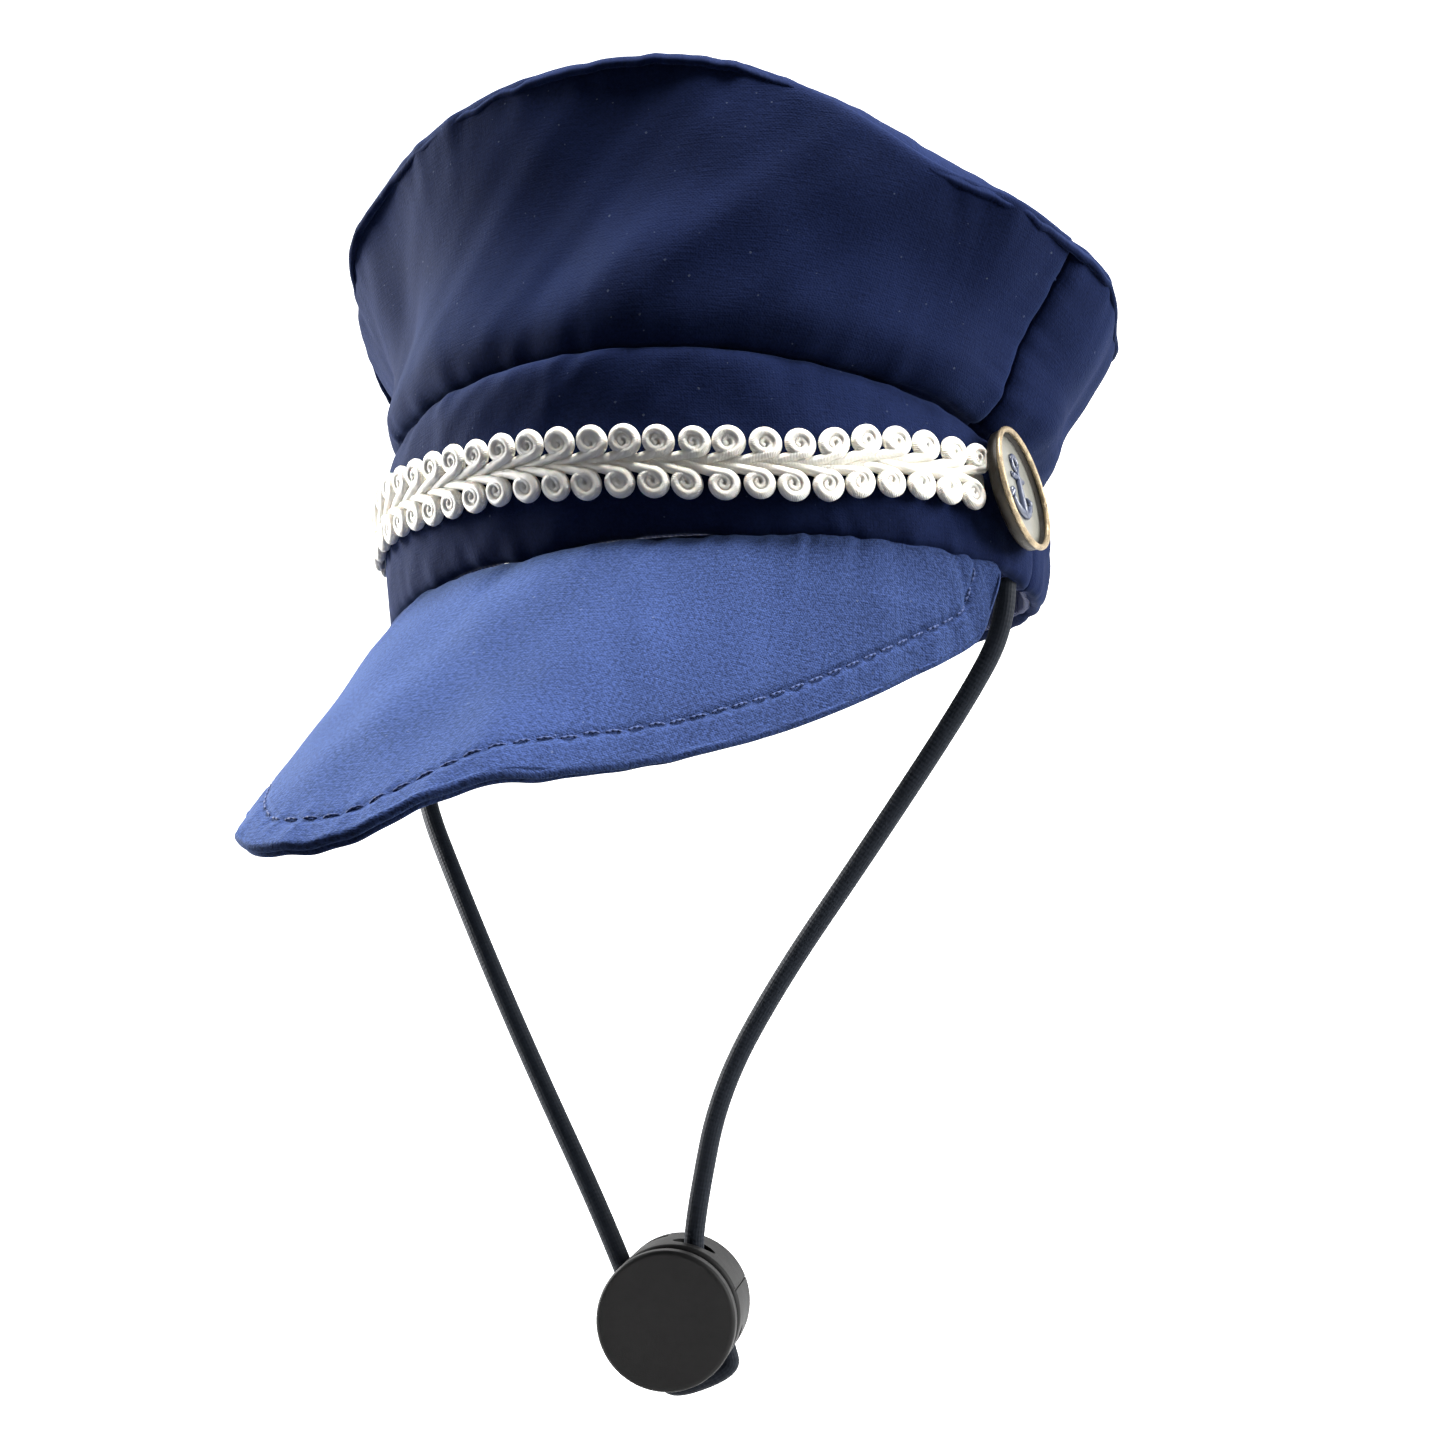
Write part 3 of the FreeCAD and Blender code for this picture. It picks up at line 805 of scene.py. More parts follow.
class CAP_OT_crown(CapOperator, bpy.types.Operator):
    """Makes the crown's front, back and top panels"""

    bl_idname = "cap.crown"
    bl_label = "Crown panels"

    def make(self, sizes):
        self.depth = sizes.seam_depth / MM
        self.gather = sizes.pucker_depth / MM
        thick = sizes.cloth_thickness / MM
        # The crown's cotton is darkened as painted shade.
        cloth = material("navy_cotton")
        for name, first, last, folds in (("crown_front_panel", -SIDE_SEAM, SIDE_SEAM, self.front_folds),
                                         ("crown_back_panel", SIDE_SEAM, 360 - SIDE_SEAM, self.back_folds)):
            points = self.side_panel(first, last, folds)
            piece = new_object(f"{name}_cloth", *thick_sheet(points, thick))
            finished(piece, "cap", cloth, "navy_cotton", name)
        finished(self.top_panel(thick), "cap", cloth, "navy_cotton", "crown_top_panel")

    def side_panel(self, first, last, folds):
        azimuth, level = np.meshgrid(np.linspace(first, last, 361),
                                     np.linspace(-TURNED_IN, 1, CROWN_ROWS), indexing="ij")
        points = soft_crown(azimuth, level)
        s = arc_lengths(points, 0)[:, HALFWAY_ROW, None] * np.ones_like(level)
        s = s - s[-1] / 2
        t = arc_lengths(points, 1)
        t = np.maximum(0, t - t[:, SEAM_ROW, None])
        height = t[:, -1:]
        to_side = s[-1] - np.abs(s)
        seed = int(abs(first))
        relief = (tuck(t, self.depth, 1.1) + tuck(t, 0.5, 0.35) + tuck(height - t, self.depth * 0.6, 0.8)
                  + tuck(to_side, self.depth * 1.2, 0.9)
                  + pucker(s, t, 6.5, self.gather, 5.0, seed + 1)
                  + pucker(s, height - t, 5.2, self.gather * 1.1, 4.0, seed + 2)
                  + pucker(t + 3, to_side, 4.6, self.gather, 4.0, seed + 4)
                  + 0.10 * wander(s + 0.6 * t, 17, seed + 5) + 0.08 * wander(s - 0.9 * t, 11, seed + 6)
                  + folds(s, t))
        return points + grid_normals(points) * relief[..., None]

    def front_folds(self, s, t):
        """Soft hollows and swells of the front panel; s is from its middle, t up from the band."""
        return (dent(s, t, (8, 20), 28, 9, 26, -1.6) + dent(s, t, (-16, 24), 14, 9, 22, 0.8)
                + dent(s, t, (20, 13), 62, 5, 15, 1.1) + dent(s, t, (-30, 20), 10, 6, 18, -1.0)
                + dent(s, t, (40, 20), -30, 10, 20, 0.9) + dent(s, t, (-48, 26), -8, 10, 16, 1.3)
                + dent(s, t, (-34, 8), 40, 6, 14, -0.7) + dent(s, t, (58, 18), 12, 7, 16, 0.7))

    def back_folds(self, s, t):
        return (dent(s, t, (-58, 12), 10, 8, 13, 1.2) + dent(s, t, (-36, 8), 25, 7, 12, -0.9)
                + dent(s, t, (-14, 14), -20, 8, 14, 0.8) + dent(s, t, (10, 9), 15, 7, 12, -0.9)
                + dent(s, t, (32, 14), -15, 9, 14, 0.9) + dent(s, t, (57, 10), 10, 8, 12, 1.0))

    def top_panel(self, thick):
        azimuth, radius = whole_turn(360, np.linspace(0.002, 1, 90) ** 0.8)
        points = top_surface(azimuth, radius)
        rim = soft_crown(azimuth[:, -1], np.ones(len(azimuth)))
        points = points + (rim - points[:, -1])[:, None] * (radius ** 5)[..., None]
        s = azimuth * 0.87
        edge = (1 - radius) * sum(RIM_HALF) / 2
        x = points[..., 0]
        y = points[..., 1]
        relief = (-0.6 + 1.9 * (1 - np.exp(-edge / 1.1))
                  + pucker(s, edge, 5.2, self.gather * 1.2, 6.0, 21)
                  + 3.0 * hump(azimuth, 57.0, 15.0) * (1 - np.exp(-edge / 3.0)) * np.exp(-edge / 25)
                  + 0.3 * wander(x + 0.4 * y, 23, 5) * np.minimum(1, edge / 12)
                  + 0.25 * wander(y - 0.5 * x, 19, 6) * np.minimum(1, edge / 12)
                  + dent(x, y, (16, -8), 50, 11, 28, -1.2) + dent(x, y, (-18, 12), -35, 12, 30, -1.0))
        points = points + np.array([0, 0, 1.0]) * relief[..., None]
        return domed_sheet("crown_top_panel_cloth", points, thick)


# ---------------------------------------------------------------- band and inside

BAND_CLOTH = 0.9
BAND_HEM = 1.0                  # how much thicker the turned hem is


class CAP_OT_band(CapOperator, bpy.types.Operator):
    """Makes the band's two strips"""

    bl_idname = "cap.band"
    bl_label = "Band"

    def make(self, sizes):
        # The band's cotton is darkened as painted shade.
        cloth = material("navy_cotton")
        for name, first, last in (("band_front", -BAND_SEAM, BAND_SEAM),
                                  ("band_back", BAND_SEAM, 360 - BAND_SEAM)):
            azimuth, level = np.meshgrid(np.linspace(first, last, 301), np.linspace(0, 1, 56), indexing="ij")
            points = soft_band(azimuth, level)
            s = arc_lengths(points, 0)
            t = arc_lengths(points, 1)
            high = t[:, -1:]
            to_side = np.minimum(s, s[-1:] - s)
            relief = (tuck(high - t, sizes.seam_depth / MM * 0.7, 0.8) + tuck(t, 0.35, 0.7)
                      + tuck(to_side, 0.7, 1.0) + 0.3 * np.sin(np.pi * t / high)
                      + pucker(s, high - t, 6.0, sizes.pucker_depth / MM, 4.0, 31)
                      + pucker(s, t, 5.0, sizes.pucker_depth / MM * 0.8, 3.5, 33)
                      + 0.16 * wander(s + t, 21, 35) + 0.1 * wander(s - t, 9, 36))
            points = points + grid_normals(points) * relief[..., None]
            points[..., 2] += 0.35 * wander(s, 24, 37) * np.exp(-t / 3)
            piece = new_object(f"{name}_cloth", *thick_sheet(points, BAND_CLOTH, hem=BAND_HEM))
            finished(piece, "cap", cloth, "navy_cotton", name)


STIFFENER_DEPTH = 1.3           # how far each layer lies inside the band's or the crown's outer face
SWEATBAND_DEPTH = 1.95
LINING_DEPTH = 3.4
LINING_SAG = 3.2
STIFFENER_THICKNESS = 0.5
SWEATBAND_THICKNESS = 0.8
LINING_CLOTH = 0.4
CORD_EXIT_AZIMUTH = 96.0
TAB_SIDES = 28
TAB_HALF = (1.28, 2.0)
TAB_ROUNDING = 0.6              # 1 is an ellipse and 0 a rectangle
TAB_SWELL = ((-0.1, 0.9), (0.3, 1.0), (2.5, 1.04), (4.6, 1.0), (5.0, 0.85))


class CAP_OT_inside(CapOperator, bpy.types.Operator):
    """Makes the sweatband, the lining, the band's stiffener and the tabs that hold the cord"""

    bl_idname = "cap.inside"
    bl_label = "Inside"

    def make(self, sizes):
        self.sweatband()
        self.lining()
        for side, label in ((-1, "left"), (1, "right")):
            self.tab(side, label)
        self.stiffener()

    def stiffener(self):
        azimuth, level = whole_turn(360, np.linspace(0.12, 0.7, 24))
        points = soft_band(azimuth, level)
        points = points - grid_normals(points) * STIFFENER_DEPTH
        piece = new_object("band_stiffener_strip", *thick_sheet(points, STIFFENER_THICKNESS, wrap=True))
        finished(piece, "cap", material("buckram"), "buckram", "band_stiffener")

    def sweatband(self):
        azimuth, level = whole_turn(360, np.linspace(0.0, 0.92, 26))
        points = soft_band(azimuth, level)
        s = azimuth * 0.7
        t = arc_lengths(points, 1)
        near_cord = hump(np.abs(azimuth), CORD_EXIT_AZIMUTH, 4.5)
        relief = (-SWEATBAND_DEPTH + 0.12 * wander(s, 14, 41) + 0.1 * wander(s, 4, 42) * np.exp(-t / 3)
                  - 0.9 * near_cord)
        points = points + grid_normals(points) * relief[..., None]
        piece = new_object("sweatband_tape", *thick_sheet(points, SWEATBAND_THICKNESS, wrap=True))
        finished(piece, "cap", material("facing"), "navy_facing", "sweatband")

    def lining(self):
        azimuth, level = whole_turn(360, np.linspace(-0.2, 0.95, 40))
        points = soft_crown(azimuth, level)
        s = azimuth * 0.8
        relief = -LINING_DEPTH + 0.25 * wander(s, 13, 51) + 0.15 * wander(s + 20 * level, 6, 52)
        points = points + grid_normals(points) * relief[..., None]
        side = new_object("lining_side_cloth", *thick_sheet(points, LINING_CLOTH, wrap=True))
        finished(side, "cap", material("lining"), "lining", "lining_side")

        azimuth, radius = whole_turn(180, np.linspace(0.02, 0.945, 50))
        points = top_surface(azimuth, radius)
        sag = -LINING_SAG + 0.3 * wander(points[..., 0] + points[..., 1], 15, 53) - 0.8 * (1 - radius)
        points = points + np.array([0, 0, 1.0]) * sag[..., None]
        top = domed_sheet("lining_top_cloth", points, LINING_CLOTH)
        finished(top, "cap", material("lining"), "lining", "lining_top")

    def tab(self, side, label):
        """A short folded loop of tape that the cord's end is sewn into."""
        angle = np.arange(TAB_SIDES) / TAB_SIDES * TURN
        half_thick, half_wide = TAB_HALF
        rings = []
        for z, swell in TAB_SWELL:
            x = half_thick * swell * np.sign(np.cos(angle)) * np.abs(np.cos(angle)) ** TAB_ROUNDING
            y = half_wide * swell * np.sign(np.sin(angle)) * np.abs(np.sin(angle)) ** TAB_ROUNDING
            rings.append(stack(side * EXIT[0] + x, EXIT[1] + y, z))
        loops = np.array(rings)
        flat = np.stack(np.broadcast_arrays(np.linspace(0, 5, len(rings))[:, None],
                                            np.linspace(0, 10, TAB_SIDES)[None]), -1)
        piece = new_object(f"cord_tab_{label}_tape", *sweep(loops, flat))
        finished(piece, "cap", material("facing"), "navy_facing", f"cord_tab_{label}")


# ---------------------------------------------------------------- peak

PEAK_TURN = 89                  # the peak's sections fan out from -PEAK_TURN to PEAK_TURN degrees
PEAK_SECTIONS = 521
PEAK_ROWS = 110
UNDER_ROW_DEPTH = 2.55          # from the upper row of stitches down to the under row
BOARD_DEPTH = 0.75
BOARD_THICKNESS = 0.5
BOARD_ENDS = 26                 # sections left out at each end
BOARD_FIRST_ROW = 2
BOARD_LAST_ROW = 101


class CAP_OT_peak(CapOperator, bpy.types.Operator):
    """Makes the peak's upper and under covers and their stitching"""

    bl_idname = "cap.peak"
    bl_label = "Peak"

    def make(self, sizes):
        self.inset = sizes.stitch_inset / MM
        turn, level = np.meshgrid(np.linspace(-PEAK_TURN, PEAK_TURN, PEAK_SECTIONS),
                                  np.linspace(0, 1, PEAK_ROWS), indexing="ij")
        base = peak_surface(turn, level)
        taper = 1 - 0.75 * np.clip((np.abs(turn) - 79) / 10, 0, 1) ** 1.5
        base = base[:, :1] + (base - base[:, :1]) * taper[..., None]
        reach = (0.9 * hump(turn, -11, 6) - 0.4 * hump(turn, -27, 7) + 1.0 * hump(turn, 44, 14)
                 + 0.7 * hump(turn, 77, 9) - 0.8 * hump(turn, -2, 20) - 0.4 * hump(turn, 22, 8)
                 - 0.5 * hump(turn, -38, 16))
        base = base + unit(base[:, -1:] - base[:, :1]) * (reach * level ** 3)[..., None]
        edge = base[:, -1]
        self.length = arc_lengths(edge, 0)
        self.outwards = unit(np.cross(grid_normals(base)[:, -1], unit(np.gradient(edge, axis=0))))
        self.outwards *= np.sign((self.outwards * (edge - base[:, -8])).sum(-1, keepdims=True))
        to_end = self.distances(base, np.concatenate([base[0], base[-1]]))
        to_edge = np.minimum(self.distances(base, edge), to_end)
        radius = sizes.peak_edge / MM
        from_root = level * peak_width(turn)
        s = self.length[:, None] * np.ones_like(level)
        near_edge = np.exp(-(to_edge / 7) ** 2)
        lift = (0.5 + 0.1 * hump(turn, -26, 12) + 1.5 * hump(turn, 22, 9) + 0.7 * hump(turn, 62, 9)
                - 0.6 * hump(turn, 39, 7))
        left_swell = 0.5 * np.clip((10 - turn) / 40, 0, 1) * np.minimum(1, from_root / 12)
        over = radius * (1 - np.sqrt(1 - np.clip(1 - to_end / radius, 0, 0.98) ** 2))
        relief = (tuck(from_root, 0.9, 1.3) - 0.35 * over + pucker(s, from_root, 7, 0.25, 6, 61)
                  - 0.28 * np.exp(-((to_edge - self.inset) / 0.5) ** 2)
                  + lift * np.exp(-(to_edge / 14) ** 2) * np.minimum(1, from_root / 8) + left_swell
                  + 0.2 * wander(s, 26, 62) * near_edge
                  + 0.2 * wander(s, 8.5, 63) * np.exp(-(to_edge / 4) ** 2)
                  + 0.10 * wander(s, 3.1, 64) * np.exp(-((to_edge - self.inset) / 2.2) ** 2)
                  + 0.25 * wander(base[..., 0] - 0.5 * base[..., 1], 24, 65)
                  + 0.12 * wander(base[..., 0] + base[..., 1], 13, 66))
        up = grid_normals(base)
        up = up * np.sign(up[PEAK_SECTIONS // 2, 50, 2])
        self.surface = base + up * relief[..., None]
        self.up = up
        self.to_edge = to_edge
        self.upper_cover(radius)
        self.under_cover(radius)
        self.board()
        self.stitching(sizes, 1)
        self.stitching(sizes, -1)

    def distances(self, points, curve):
        flat = points.reshape(-1, 3)
        nearest = np.full(len(flat), 1e9)
        for start in range(0, len(curve), 40):
            part = np.linalg.norm(flat[:, None] - curve[None, start:start + 40], axis=-1).min(1)
            nearest = np.minimum(nearest, part)
        return nearest.reshape(points.shape[:2])

    def rolled(self, radius, back, down, first, last, count):
        """Points that turn round the edge, from the upper side to the under side."""
        edge = self.surface[:, -1]
        up = self.up[:, -1]
        middle = edge - self.outwards * back - up * down
        rows = []
        for angle in np.linspace(first, last, count):
            rows.append(middle + radius * (self.outwards * cos(angle) + up * sin(angle)))
        return np.stack(rows, 1)

    def kept(self, back):
        """The surface short of the rolled edge."""
        keep = self.surface.copy()
        share = np.minimum(1, np.maximum(0, (back - self.to_edge) / back))
        keep -= self.outwards[:, None] * (share * back)[..., None]
        return keep[:, :-1]

    def upper_cover(self, radius):
        over = self.kept(radius * 1.15)
        roll = self.rolled(radius, radius, radius, 84, -62, 12)
        outer = np.concatenate([over, roll], 1)
        inner = (self.surface - self.up * (2 * radius * 0.85))[:, ::-1]
        inner -= self.outwards[:, None] * 0.9
        self.cover("peak_upper_cover", outer, inner, "peak_top_cover")

    def under_cover(self, radius):
        small = radius * 0.72
        middle = 2 * radius + small * 0.62
        roll = self.rolled(small, radius * 1.05, middle, 62, -88, 12)
        under = self.surface - self.up * (middle + small)
        below = (under - self.outwards[:, None] * np.clip(1.2 - self.to_edge, 0, 1.2)[..., None])[:, :-1]
        outer = np.concatenate([roll, below[:, ::-1]], 1)
        inner = self.surface - self.up * (middle - small * 0.4)
        inner -= self.outwards[:, None] * 0.9
        self.cover("peak_under_cover_cloth", outer, inner, "peak_under_cover")

    def board(self):
        """The flexible sheet between the covers, which stops short of the stitching."""
        sheet = (self.surface - self.up * BOARD_DEPTH)[BOARD_ENDS:-BOARD_ENDS, BOARD_FIRST_ROW:BOARD_LAST_ROW]
        middle = PEAK_SECTIONS // 2
        faces_up = self.up[middle, 50] @ grid_normals(sheet)[middle - BOARD_ENDS, 50] > 0
        sheet = sheet if faces_up else sheet[::-1]
        piece = new_object("peak_board_sheet", *thick_sheet(sheet, BOARD_THICKNESS))
        finished(piece, "cap", material("board"), "peak_board", "peak_board")

    def cover(self, name, outer, inner, node):
        loops = np.concatenate([outer, inner[:, ::4]], 1)
        round_it = arc_lengths(loops, 1)
        across = self.length[:, None] * np.ones_like(round_it)
        flat = np.stack([across * 0.75, round_it], -1)
        piece = new_object(name, *sweep(loops, flat))
        finished(piece, "cap", material("peak_cotton"), "peak_cotton", node)

    def evened(self, values, step, count=None):
        """The same run of values, smoothed and evenly spaced."""
        length = arc_lengths(values, 0)
        even = np.linspace(0, length[-1], count or int(length[-1] / step))
        values = np.stack([np.interp(even, length, values[:, i]) for i in range(3)], 1)
        ends = values[[0, -1]]
        for _ in range(3):
            values[1:-1] = (values[:-2] + 2 * values[1:-1] + values[2:]) / 4
        values[[0, -1]] = ends
        return values

    def stitching(self, sizes, side):
        """A row of single stitches that follows the edge at an even distance."""
        kept = [i for i, distances in enumerate(self.to_edge) if distances.max() > self.inset + 0.15]
        line, up = [], []
        for i in kept:
            inside = np.nonzero(self.to_edge[i] > self.inset)[0]
            cells = [inside[-1]]
            if i == kept[0]:
                cells = list(inside[::6]) + cells
            if i == kept[-1]:
                cells = cells + list(inside[::-6])
            line.extend(self.surface[i, j] for j in cells)
            up.extend(self.up[i, j] for j in cells)
        line = self.evened(np.array(line), 0.6)
        up = unit(self.evened(np.array(up), 0.6, len(line)))
        line = line - up * (0.0 if side > 0 else UNDER_ROW_DEPTH)
        length = arc_lengths(line, 0)
        stitch = sizes.stitch_length / MM
        step = stitch + sizes.stitch_gap / MM
        radius = sizes.thread_radius / MM
        pieces = []
        shape = np.linspace(0, 1, 9)
        for start in np.arange(0.5, length[-1] - stitch, step):
            at = start + stitch * shape
            path = np.stack([np.interp(at, length, line[:, i]) for i in range(3)], 1)
            lift = np.stack([np.interp(at, length, up[:, i]) for i in range(3)], 1)
            arch = 0.46 * np.sin(np.pi * shape) ** 0.5 - 0.26
            path = path + lift * (arch * side)[:, None]
            thick = radius * (0.55 + 0.45 * np.sin(np.pi * shape) ** 0.4)
            pieces.append(tube(path, thick, 6))
        name = "peak_topstitch" if side > 0 else "peak_understitch"
        finished(new_object(name, *join(pieces)), "cap", material("sewing_thread"), "peak_cotton")


# ---------------------------------------------------------------- braid

CURL_RADIUS = 1.22
EYE_RADIUS = 0.48
LOWER_ROW_OFFSET = -0.33        # in pitches
# azimuth, and how far the braid sits above its drafted line there
BRAID_SAG = ((-90, 3.8), (-60, 3.6), (-45, 2.7), (-12, 1.9), (0, 1.6), (16, 0.3), (24, -0.2), (32, -1.1),
             (50, -1.3), (58, -0.3), (90, -0.35))


class CAP_OT_braid(CapOperator, bpy.types.Operator):
    """Makes the gimp braid: two rows of curled loops that meet along the middle"""

    bl_idname = "cap.braid"
    bl_label = "Braid"

    def make(self, sizes):
        ivory = material("ivory_gimp")
        pitch = sizes.braid_pitch / MM
        strand = sizes.strand / MM
        half = sizes.braid_height / MM / 2
        table = np.linspace(-BRAID_END, BRAID_END, 600)
        self.azimuths = table
        self.lengths = arc_lengths(band_surface(table, np.full(table.shape, 0.45)), 0)
        total = self.lengths[-1]
        count = int(total / pitch) - 1
        start = (total - count * pitch) / 2
        rows = []
        for side, offset in ((1, 0.0), (-1, LOWER_ROW_OFFSET)):
            rows.append(self.looped_row(side, start + offset * pitch, count, pitch, half, strand))
        upper = new_object("braid_upper_loops", *rows[0])
        lower = new_object("braid_lower_loops", *rows[1])
        finished(upper, "cap", ivory, "ivory_gimp", "braid_trim")
        finished(lower, "cap", ivory, "ivory_gimp")
        core = new_object("braid_core", *self.core(total))
        finished(core, "cap", ivory, "ivory_gimp")

    def place(self, along, height, lift):
        """A point on the band: along the braid, up from its middle line and out from the cloth."""
        azimuth = np.interp(along, self.lengths, self.azimuths)
        sag = np.interp(azimuth, *zip(*BRAID_SAG))
        middle = 9.5 - 1.6 * cos(azimuth) + sag + 0.12 * wander(along, 40, 71)
        level = (middle + height) / band_height(azimuth)
        here = band_surface(azimuth, level)
        across = band_surface(azimuth + 0.5, level) - band_surface(azimuth - 0.5, level)
        rise = band_surface(azimuth, level + 0.02) - band_surface(azimuth, level - 0.02)
        out = unit(np.cross(across, rise))
        return here + out * np.asarray(lift)[..., None], out

    def looped_row(self, side, start, count, pitch, half, strand):
        """Curls with an eye: each strand leaves the middle line, rises and winds in on itself."""
        centre_height = half - strand / 2 - CURL_RADIUS
        arm = np.linspace(0, 1, 14)[:-1]
        arm_x = -5.4 + 5.3 * arm
        arm_y = -centre_height + 0.12 + (centre_height - CURL_RADIUS - 0.12) * arm ** 1.6
        angle = np.radians(np.linspace(-92, 610, 54))
        wound = np.clip((np.degrees(angle) - 190) / 190, 0, 1)
        wound = wound * wound * (3 - 2 * wound)
        radius = CURL_RADIUS - (CURL_RADIUS - EYE_RADIUS) * wound
        x = np.concatenate([arm_x, radius * np.cos(angle)])
        y = np.concatenate([arm_y, radius * np.sin(angle)])
        lift = np.concatenate([0.75 + 0.75 * arm ** 0.7, 1.50 - 0.03 * wound])
        width = np.concatenate([0.75 + 0.3 * arm ** 0.6, 1.05 - 0.18 * wound])
        random = np.random.default_rng(74 + side)
        pieces = []
        for index in range(count):
            grow, shift, raise_by = random.uniform(-1, 1, 3)
            along = start + pitch * (index + 0.8) + x * (1 + 0.05 * grow) + 0.15 * shift
            height = centre_height + y * (1 + 0.05 * grow) + 0.1 * raise_by
            path, _ = self.place(along, side * height, lift + 0.08 * shift)
            pieces.append(tube(path, strand / 2 * width, 10))
        return join(pieces)

    def core(self, total):
        """The stitched strip under the loops."""
        along = np.linspace(1.0, total - 1.0, 240)
        rows = [self.place(along, np.full(along.shape, h), np.full(along.shape, 0.62 + 0.12 * math.cos(h)))[0]
                for h in np.linspace(-0.8, 0.8, 7)]
        return thick_sheet(np.stack(rows, 1), 0.5)


# ---------------------------------------------------------------- buttons

RIM_THICKNESS = 0.72
RIM_HEIGHT = 1.9                # heights are above the button's back
EMBLEM_HEIGHT = 1.3


class CAP_OT_buttons(CapOperator, bpy.types.Operator):
    """Makes the two metal buttons"""

    bl_idname = "cap.buttons"
    bl_label = "Buttons"

    def make(self, sizes):
        for side, label in ((1, "left"), (-1, "right")):
            facing = np.array([sin(BUTTON_FACING) * cos(BUTTON_TILT) * side,
                               -cos(BUTTON_FACING) * cos(BUTTON_TILT), sin(BUTTON_TILT)])
            level = (BUTTON_Z - 0.9) / band_height(BUTTON_AZIMUTH)
            seat = band_surface(np.array(side * (BUTTON_AZIMUTH - 2.5)), np.array(level)) + facing * 0.8
            sideways = unit(np.cross([0, 0, 1.0], facing))
            upright = np.cross(facing, sideways)
            self.axes = np.stack([sideways, upright, facing])
            self.seat = seat
            self.button(label, sizes.button_radius / MM)

    def placed(self, points):
        return self.seat + np.asarray(points) @ self.axes

    def turned(self, profile, sides=96):
        angle = np.arange(sides) / sides * TURN
        radius, height = np.array(profile).T
        loops = np.stack(np.broadcast_arrays(radius[:, None] * np.cos(angle), radius[:, None] * np.sin(angle),
                                             height[:, None] + 0 * angle), -1)
        return sweep(self.placed(loops), loops[..., :2].copy())

    def button(self, label, radius):
        half = RIM_THICKNESS / 2
        ring = radius - half
        wall = [(0.05, 0.0), (radius * 0.75, 0.0), (radius - 0.75, 0.12), (radius - 0.35, 0.5),
                (radius - 0.22, 1.7), (ring - half + 0.1, 1.8), (ring - half, 0.75), (0.05, 0.75)]
        # The side wall takes the darkened copy of the brass: painted shade.
        wall_piece = new_object(f"button_{label}_wall", *self.turned(wall))
        finished(wall_piece, "cap", material("brass_painted_shade"), "antique_brass", f"button_{label}_shell")
        circle = [(ring * math.cos(a), ring * math.sin(a), RIM_HEIGHT) for a in np.linspace(0, TURN, 97)]
        rim_piece = new_object(f"button_{label}_rim", *tube(self.placed(circle), half, 14))
        finished(rim_piece, "cap", material("antique_brass"), "antique_brass")
        loop = [(1.1 * math.cos(a), 0, -1.2 + 1.0 * math.sin(a)) for a in np.linspace(0, TURN, 25)]
        # The eye takes the same darkened brass, painted shade.
        shank = new_object(f"button_{label}_eye", *tube(self.placed(loop), 0.35, 10))
        finished(shank, "cap", material("brass_painted_shade"), "antique_brass", f"button_{label}_shank")
        inner = ring - half - 0.05
        dome = [(0.02, 0.8), (inner, 0.8)]
        dome += [(inner * (1 - t) + 0.02 * t, 1.05 + 0.2 * math.sin(t * math.pi / 2))
                 for t in np.linspace(0, 1, 10)]
        face = new_object(f"button_{label}_dial", *self.turned(dome))
        finished(face, "cap", material("ivory_enamel"), "ivory_enamel", f"button_{label}_face")
        emblem = new_object(f"button_{label}_anchor", *join(self.anchor()))
        finished(emblem, "cap", material("blue_enamel"), "blue_enamel", f"button_{label}_emblem")

    def anchor(self):
        """A plain anchor in raised enamel."""
        height = EMBLEM_HEIGHT
        turn = np.linspace(0, TURN, 25)
        strokes = [
            ([(0, 2.6, height), (0, 0.5, height), (0, -3.4, height)], [0.42, 0.5, 0.62]),
            ([(-1.9, 1.5, height), (0, 1.5, height), (1.9, 1.5, height)], [0.34, 0.42, 0.34]),
            ([(0.95 * math.cos(a), 3.45 + 0.95 * math.sin(a), height) for a in turn], 0.3),
            ([(3.1 * math.sin(a), -0.2 - 3.1 * math.cos(a), height - 0.05)
              for a in np.linspace(-1.15, 1.15, 17)], list(0.3 + 0.24 * np.cos(np.linspace(-1.5, 1.5, 17)))),
        ]
        for side in (-1, 1):
            fluke = [(side * 3.5, -1.9, height), (side * 2.85, -1.0, height), (side * 2.35, -0.3, height)]
            strokes.append((fluke, [0.1, 0.5, 0.1]))
        pieces = []
        for path, width in strokes:
            path = np.array(path, float)
            if len(path) == 3:
                fine = np.linspace(0, 2, 9)
                path = np.stack([np.interp(fine, range(3), path[:, i]) for i in range(3)], 1)
                width = np.interp(fine, range(3), width)
            pieces.append(tube(self.placed(path), width, 10))
        return pieces


# ---------------------------------------------------------------- chin cord and cord lock

def millimetres(points):
    return [Vector(p) * MM for p in points]


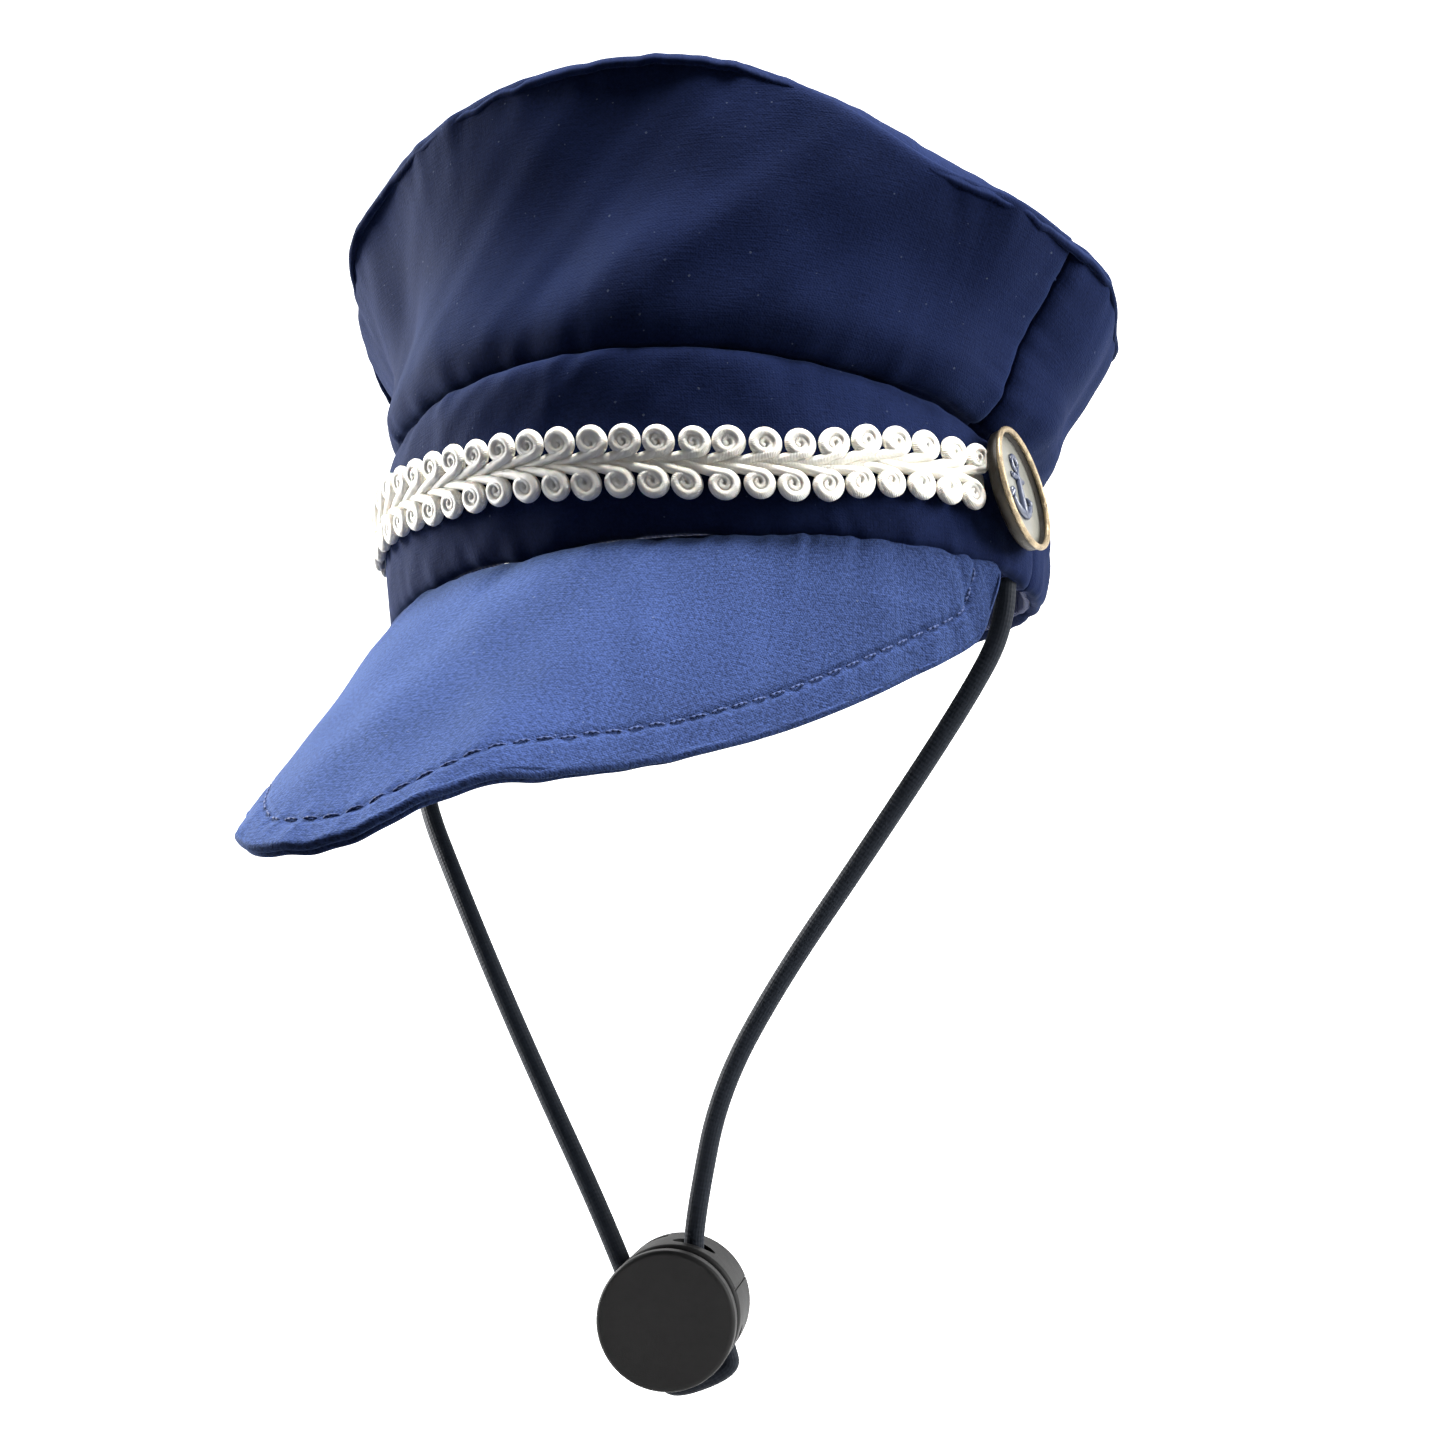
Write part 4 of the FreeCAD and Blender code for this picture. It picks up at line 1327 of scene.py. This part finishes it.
class CAP_OT_cord(CapOperator, bpy.types.Operator):
    """Makes the elastic chin cord: two strands and the short loop under the lock"""

    bl_idname = "cap.cord"
    bl_label = "Chin cord"

    def make(self, sizes):
        x, y, z = EXIT
        right = [(x, y, z), (x, y, -5.5), (34.2, 4.2, -14), (19.6, 4.4, -31), (6.3, 4.4, -46),
                 (-2.2, 3.8, -59), in_lock(7.3, 11.2, 0), in_lock(4.3, 5.4, 0), in_lock(4.3, 3.5, 0)]
        left = [(-x, y, z), (-x, y, -4), (-44.2, 2.2, -8.6), (-48.9, -2.4, -12.8), (-35.0, -5.4, -36),
                (-27.2, -2.6, -54), in_lock(-4.3, 12, 0), in_lock(-4.3, 3.5, 0)]
        loop = [in_lock(side * 4.3, along, 0) for side, along in
                ((1, 3.5), (1, -7.2), (0.85, -9.2), (-0.85, -9.2), (-1, -7.2), (-1, 3.5))]
        lock = [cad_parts[n] for n in ("lock_drum", "lock_push_button")]
        self.diameter = sizes.cord_diameter
        self.strand("chin_cord_right", "cord_right", millimetres(right), 0.0958, lock)
        self.strand("chin_cord_left", "cord_left", millimetres(left), 0.0914, [])
        self.strand("chin_cord_loop", "cord_loop", millimetres(loop), 0.0335, [])

    def strand(self, name, node, route, length, on_it):
        """One stretch of cord as a tube round a smooth line through its route."""
        curve = bpy.data.curves.new(name + "_line", "CURVE")
        curve.dimensions = "3D"
        curve.resolution_u = 24
        spline = curve.splines.new("NURBS")
        spline.points.add(len(route) - 1)
        for point, place in zip(spline.points, route):
            point.co = (*place, 1)
        spline.order_u = 3
        spline.use_endpoint_u = True
        guide = bpy.data.objects.new(name + "_line", curve)
        bpy.context.scene.collection.objects.link(guide)
        bpy.context.view_layer.update()
        line = bpy.data.meshes.new_from_object(guide)
        path = np.array([v.co for v in line.vertices]) / MM
        bpy.data.objects.remove(guide)
        bpy.data.meshes.remove(line)
        piece = new_object(name, *tube(path, self.diameter / MM / 2, 28))
        finished(piece, "strap", material("elastic"), "elastic_cord", node)
        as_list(on_it)
        if node == "cord_loop":
            piece.parent = None
            in_lock(0, 3.0, 0) * MM
            in_lock(0, -6.8, 0) * MM
            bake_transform(piece)
        else:
            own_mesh(piece)


SPRING_TURNS = 4
SPRING_RADIUS = 2.9
SPRING_WIRE = 0.4
SPRING_FOOT = -6.4              # along the push button's travel, from the cord's channels
SPRING_LENGTH = 3.3


class CAP_OT_lock(CapOperator, bpy.types.Operator):
    """Finishes the cord lock and winds its spring"""

    bl_idname = "cap.lock"
    bl_label = "Cord lock"

    def make(self, sizes):
        for node in ("lock_drum", "lock_push_button"):
            dress(node, "black_plastic")
        turns = np.linspace(0, SPRING_TURNS * TURN, 130)
        path = [in_lock(SPRING_RADIUS * math.cos(a), SPRING_RADIUS * math.sin(a),
                        SPRING_FOOT + SPRING_LENGTH * a / turns[-1]) for a in turns]
        spring = new_object("lock_spring_coil", *tube(np.array(path), SPRING_WIRE / 2, 8))
        finished(spring, "lock", material("wire"), "spring_steel", "lock_spring")
        facing = (in_lock(0, 0, 1) - in_lock(0, 0, 0)).normalized()
        in_lock(0, 0, -6.6) * MM
        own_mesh(spring)


# ---------------------------------------------------------------- sidebar, registering and running

STEPS = (CAP_OT_stage, CAP_OT_cord, CAP_OT_lock, CAP_OT_crown, CAP_OT_band, CAP_OT_peak, CAP_OT_braid,
         CAP_OT_buttons, CAP_OT_inside)


class CAP_PT_sidebar(bpy.types.Panel):
    """Lists the cap's settings and the operators that make it"""

    bl_idname = "CAP_PT_sidebar"
    bl_label = "Small peaked cap"
    bl_space_type = "VIEW_3D"
    bl_region_type = "UI"
    bl_category = "Cap"

    def draw(self, context):
        for settings in (context.scene.cap_sizes, context.scene.cap_colours):
            box = self.layout.box()
            for name in settings.bl_rna.properties.keys():
                if name not in ("rna_type", "name"):
                    box.prop(settings, name)
        for step in STEPS:
            self.layout.operator(step.bl_idname)


CLASSES = (CapSizes, CapColours, *STEPS, CAP_PT_sidebar)


def register():
    for cls in CLASSES:
        bpy.utils.register_class(cls)
    bpy.types.Scene.cap_sizes = bpy.props.PointerProperty(type=CapSizes)
    bpy.types.Scene.cap_colours = bpy.props.PointerProperty(type=CapColours)


def unregister():
    del bpy.types.Scene.cap_colours
    del bpy.types.Scene.cap_sizes
    for cls in reversed(CLASSES):
        bpy.utils.unregister_class(cls)


def main():
    register()
    for step in STEPS:
        group, name = step.bl_idname.split(".")
        getattr(getattr(bpy.ops, group), name)()


if __name__ == "__main__":
    main()
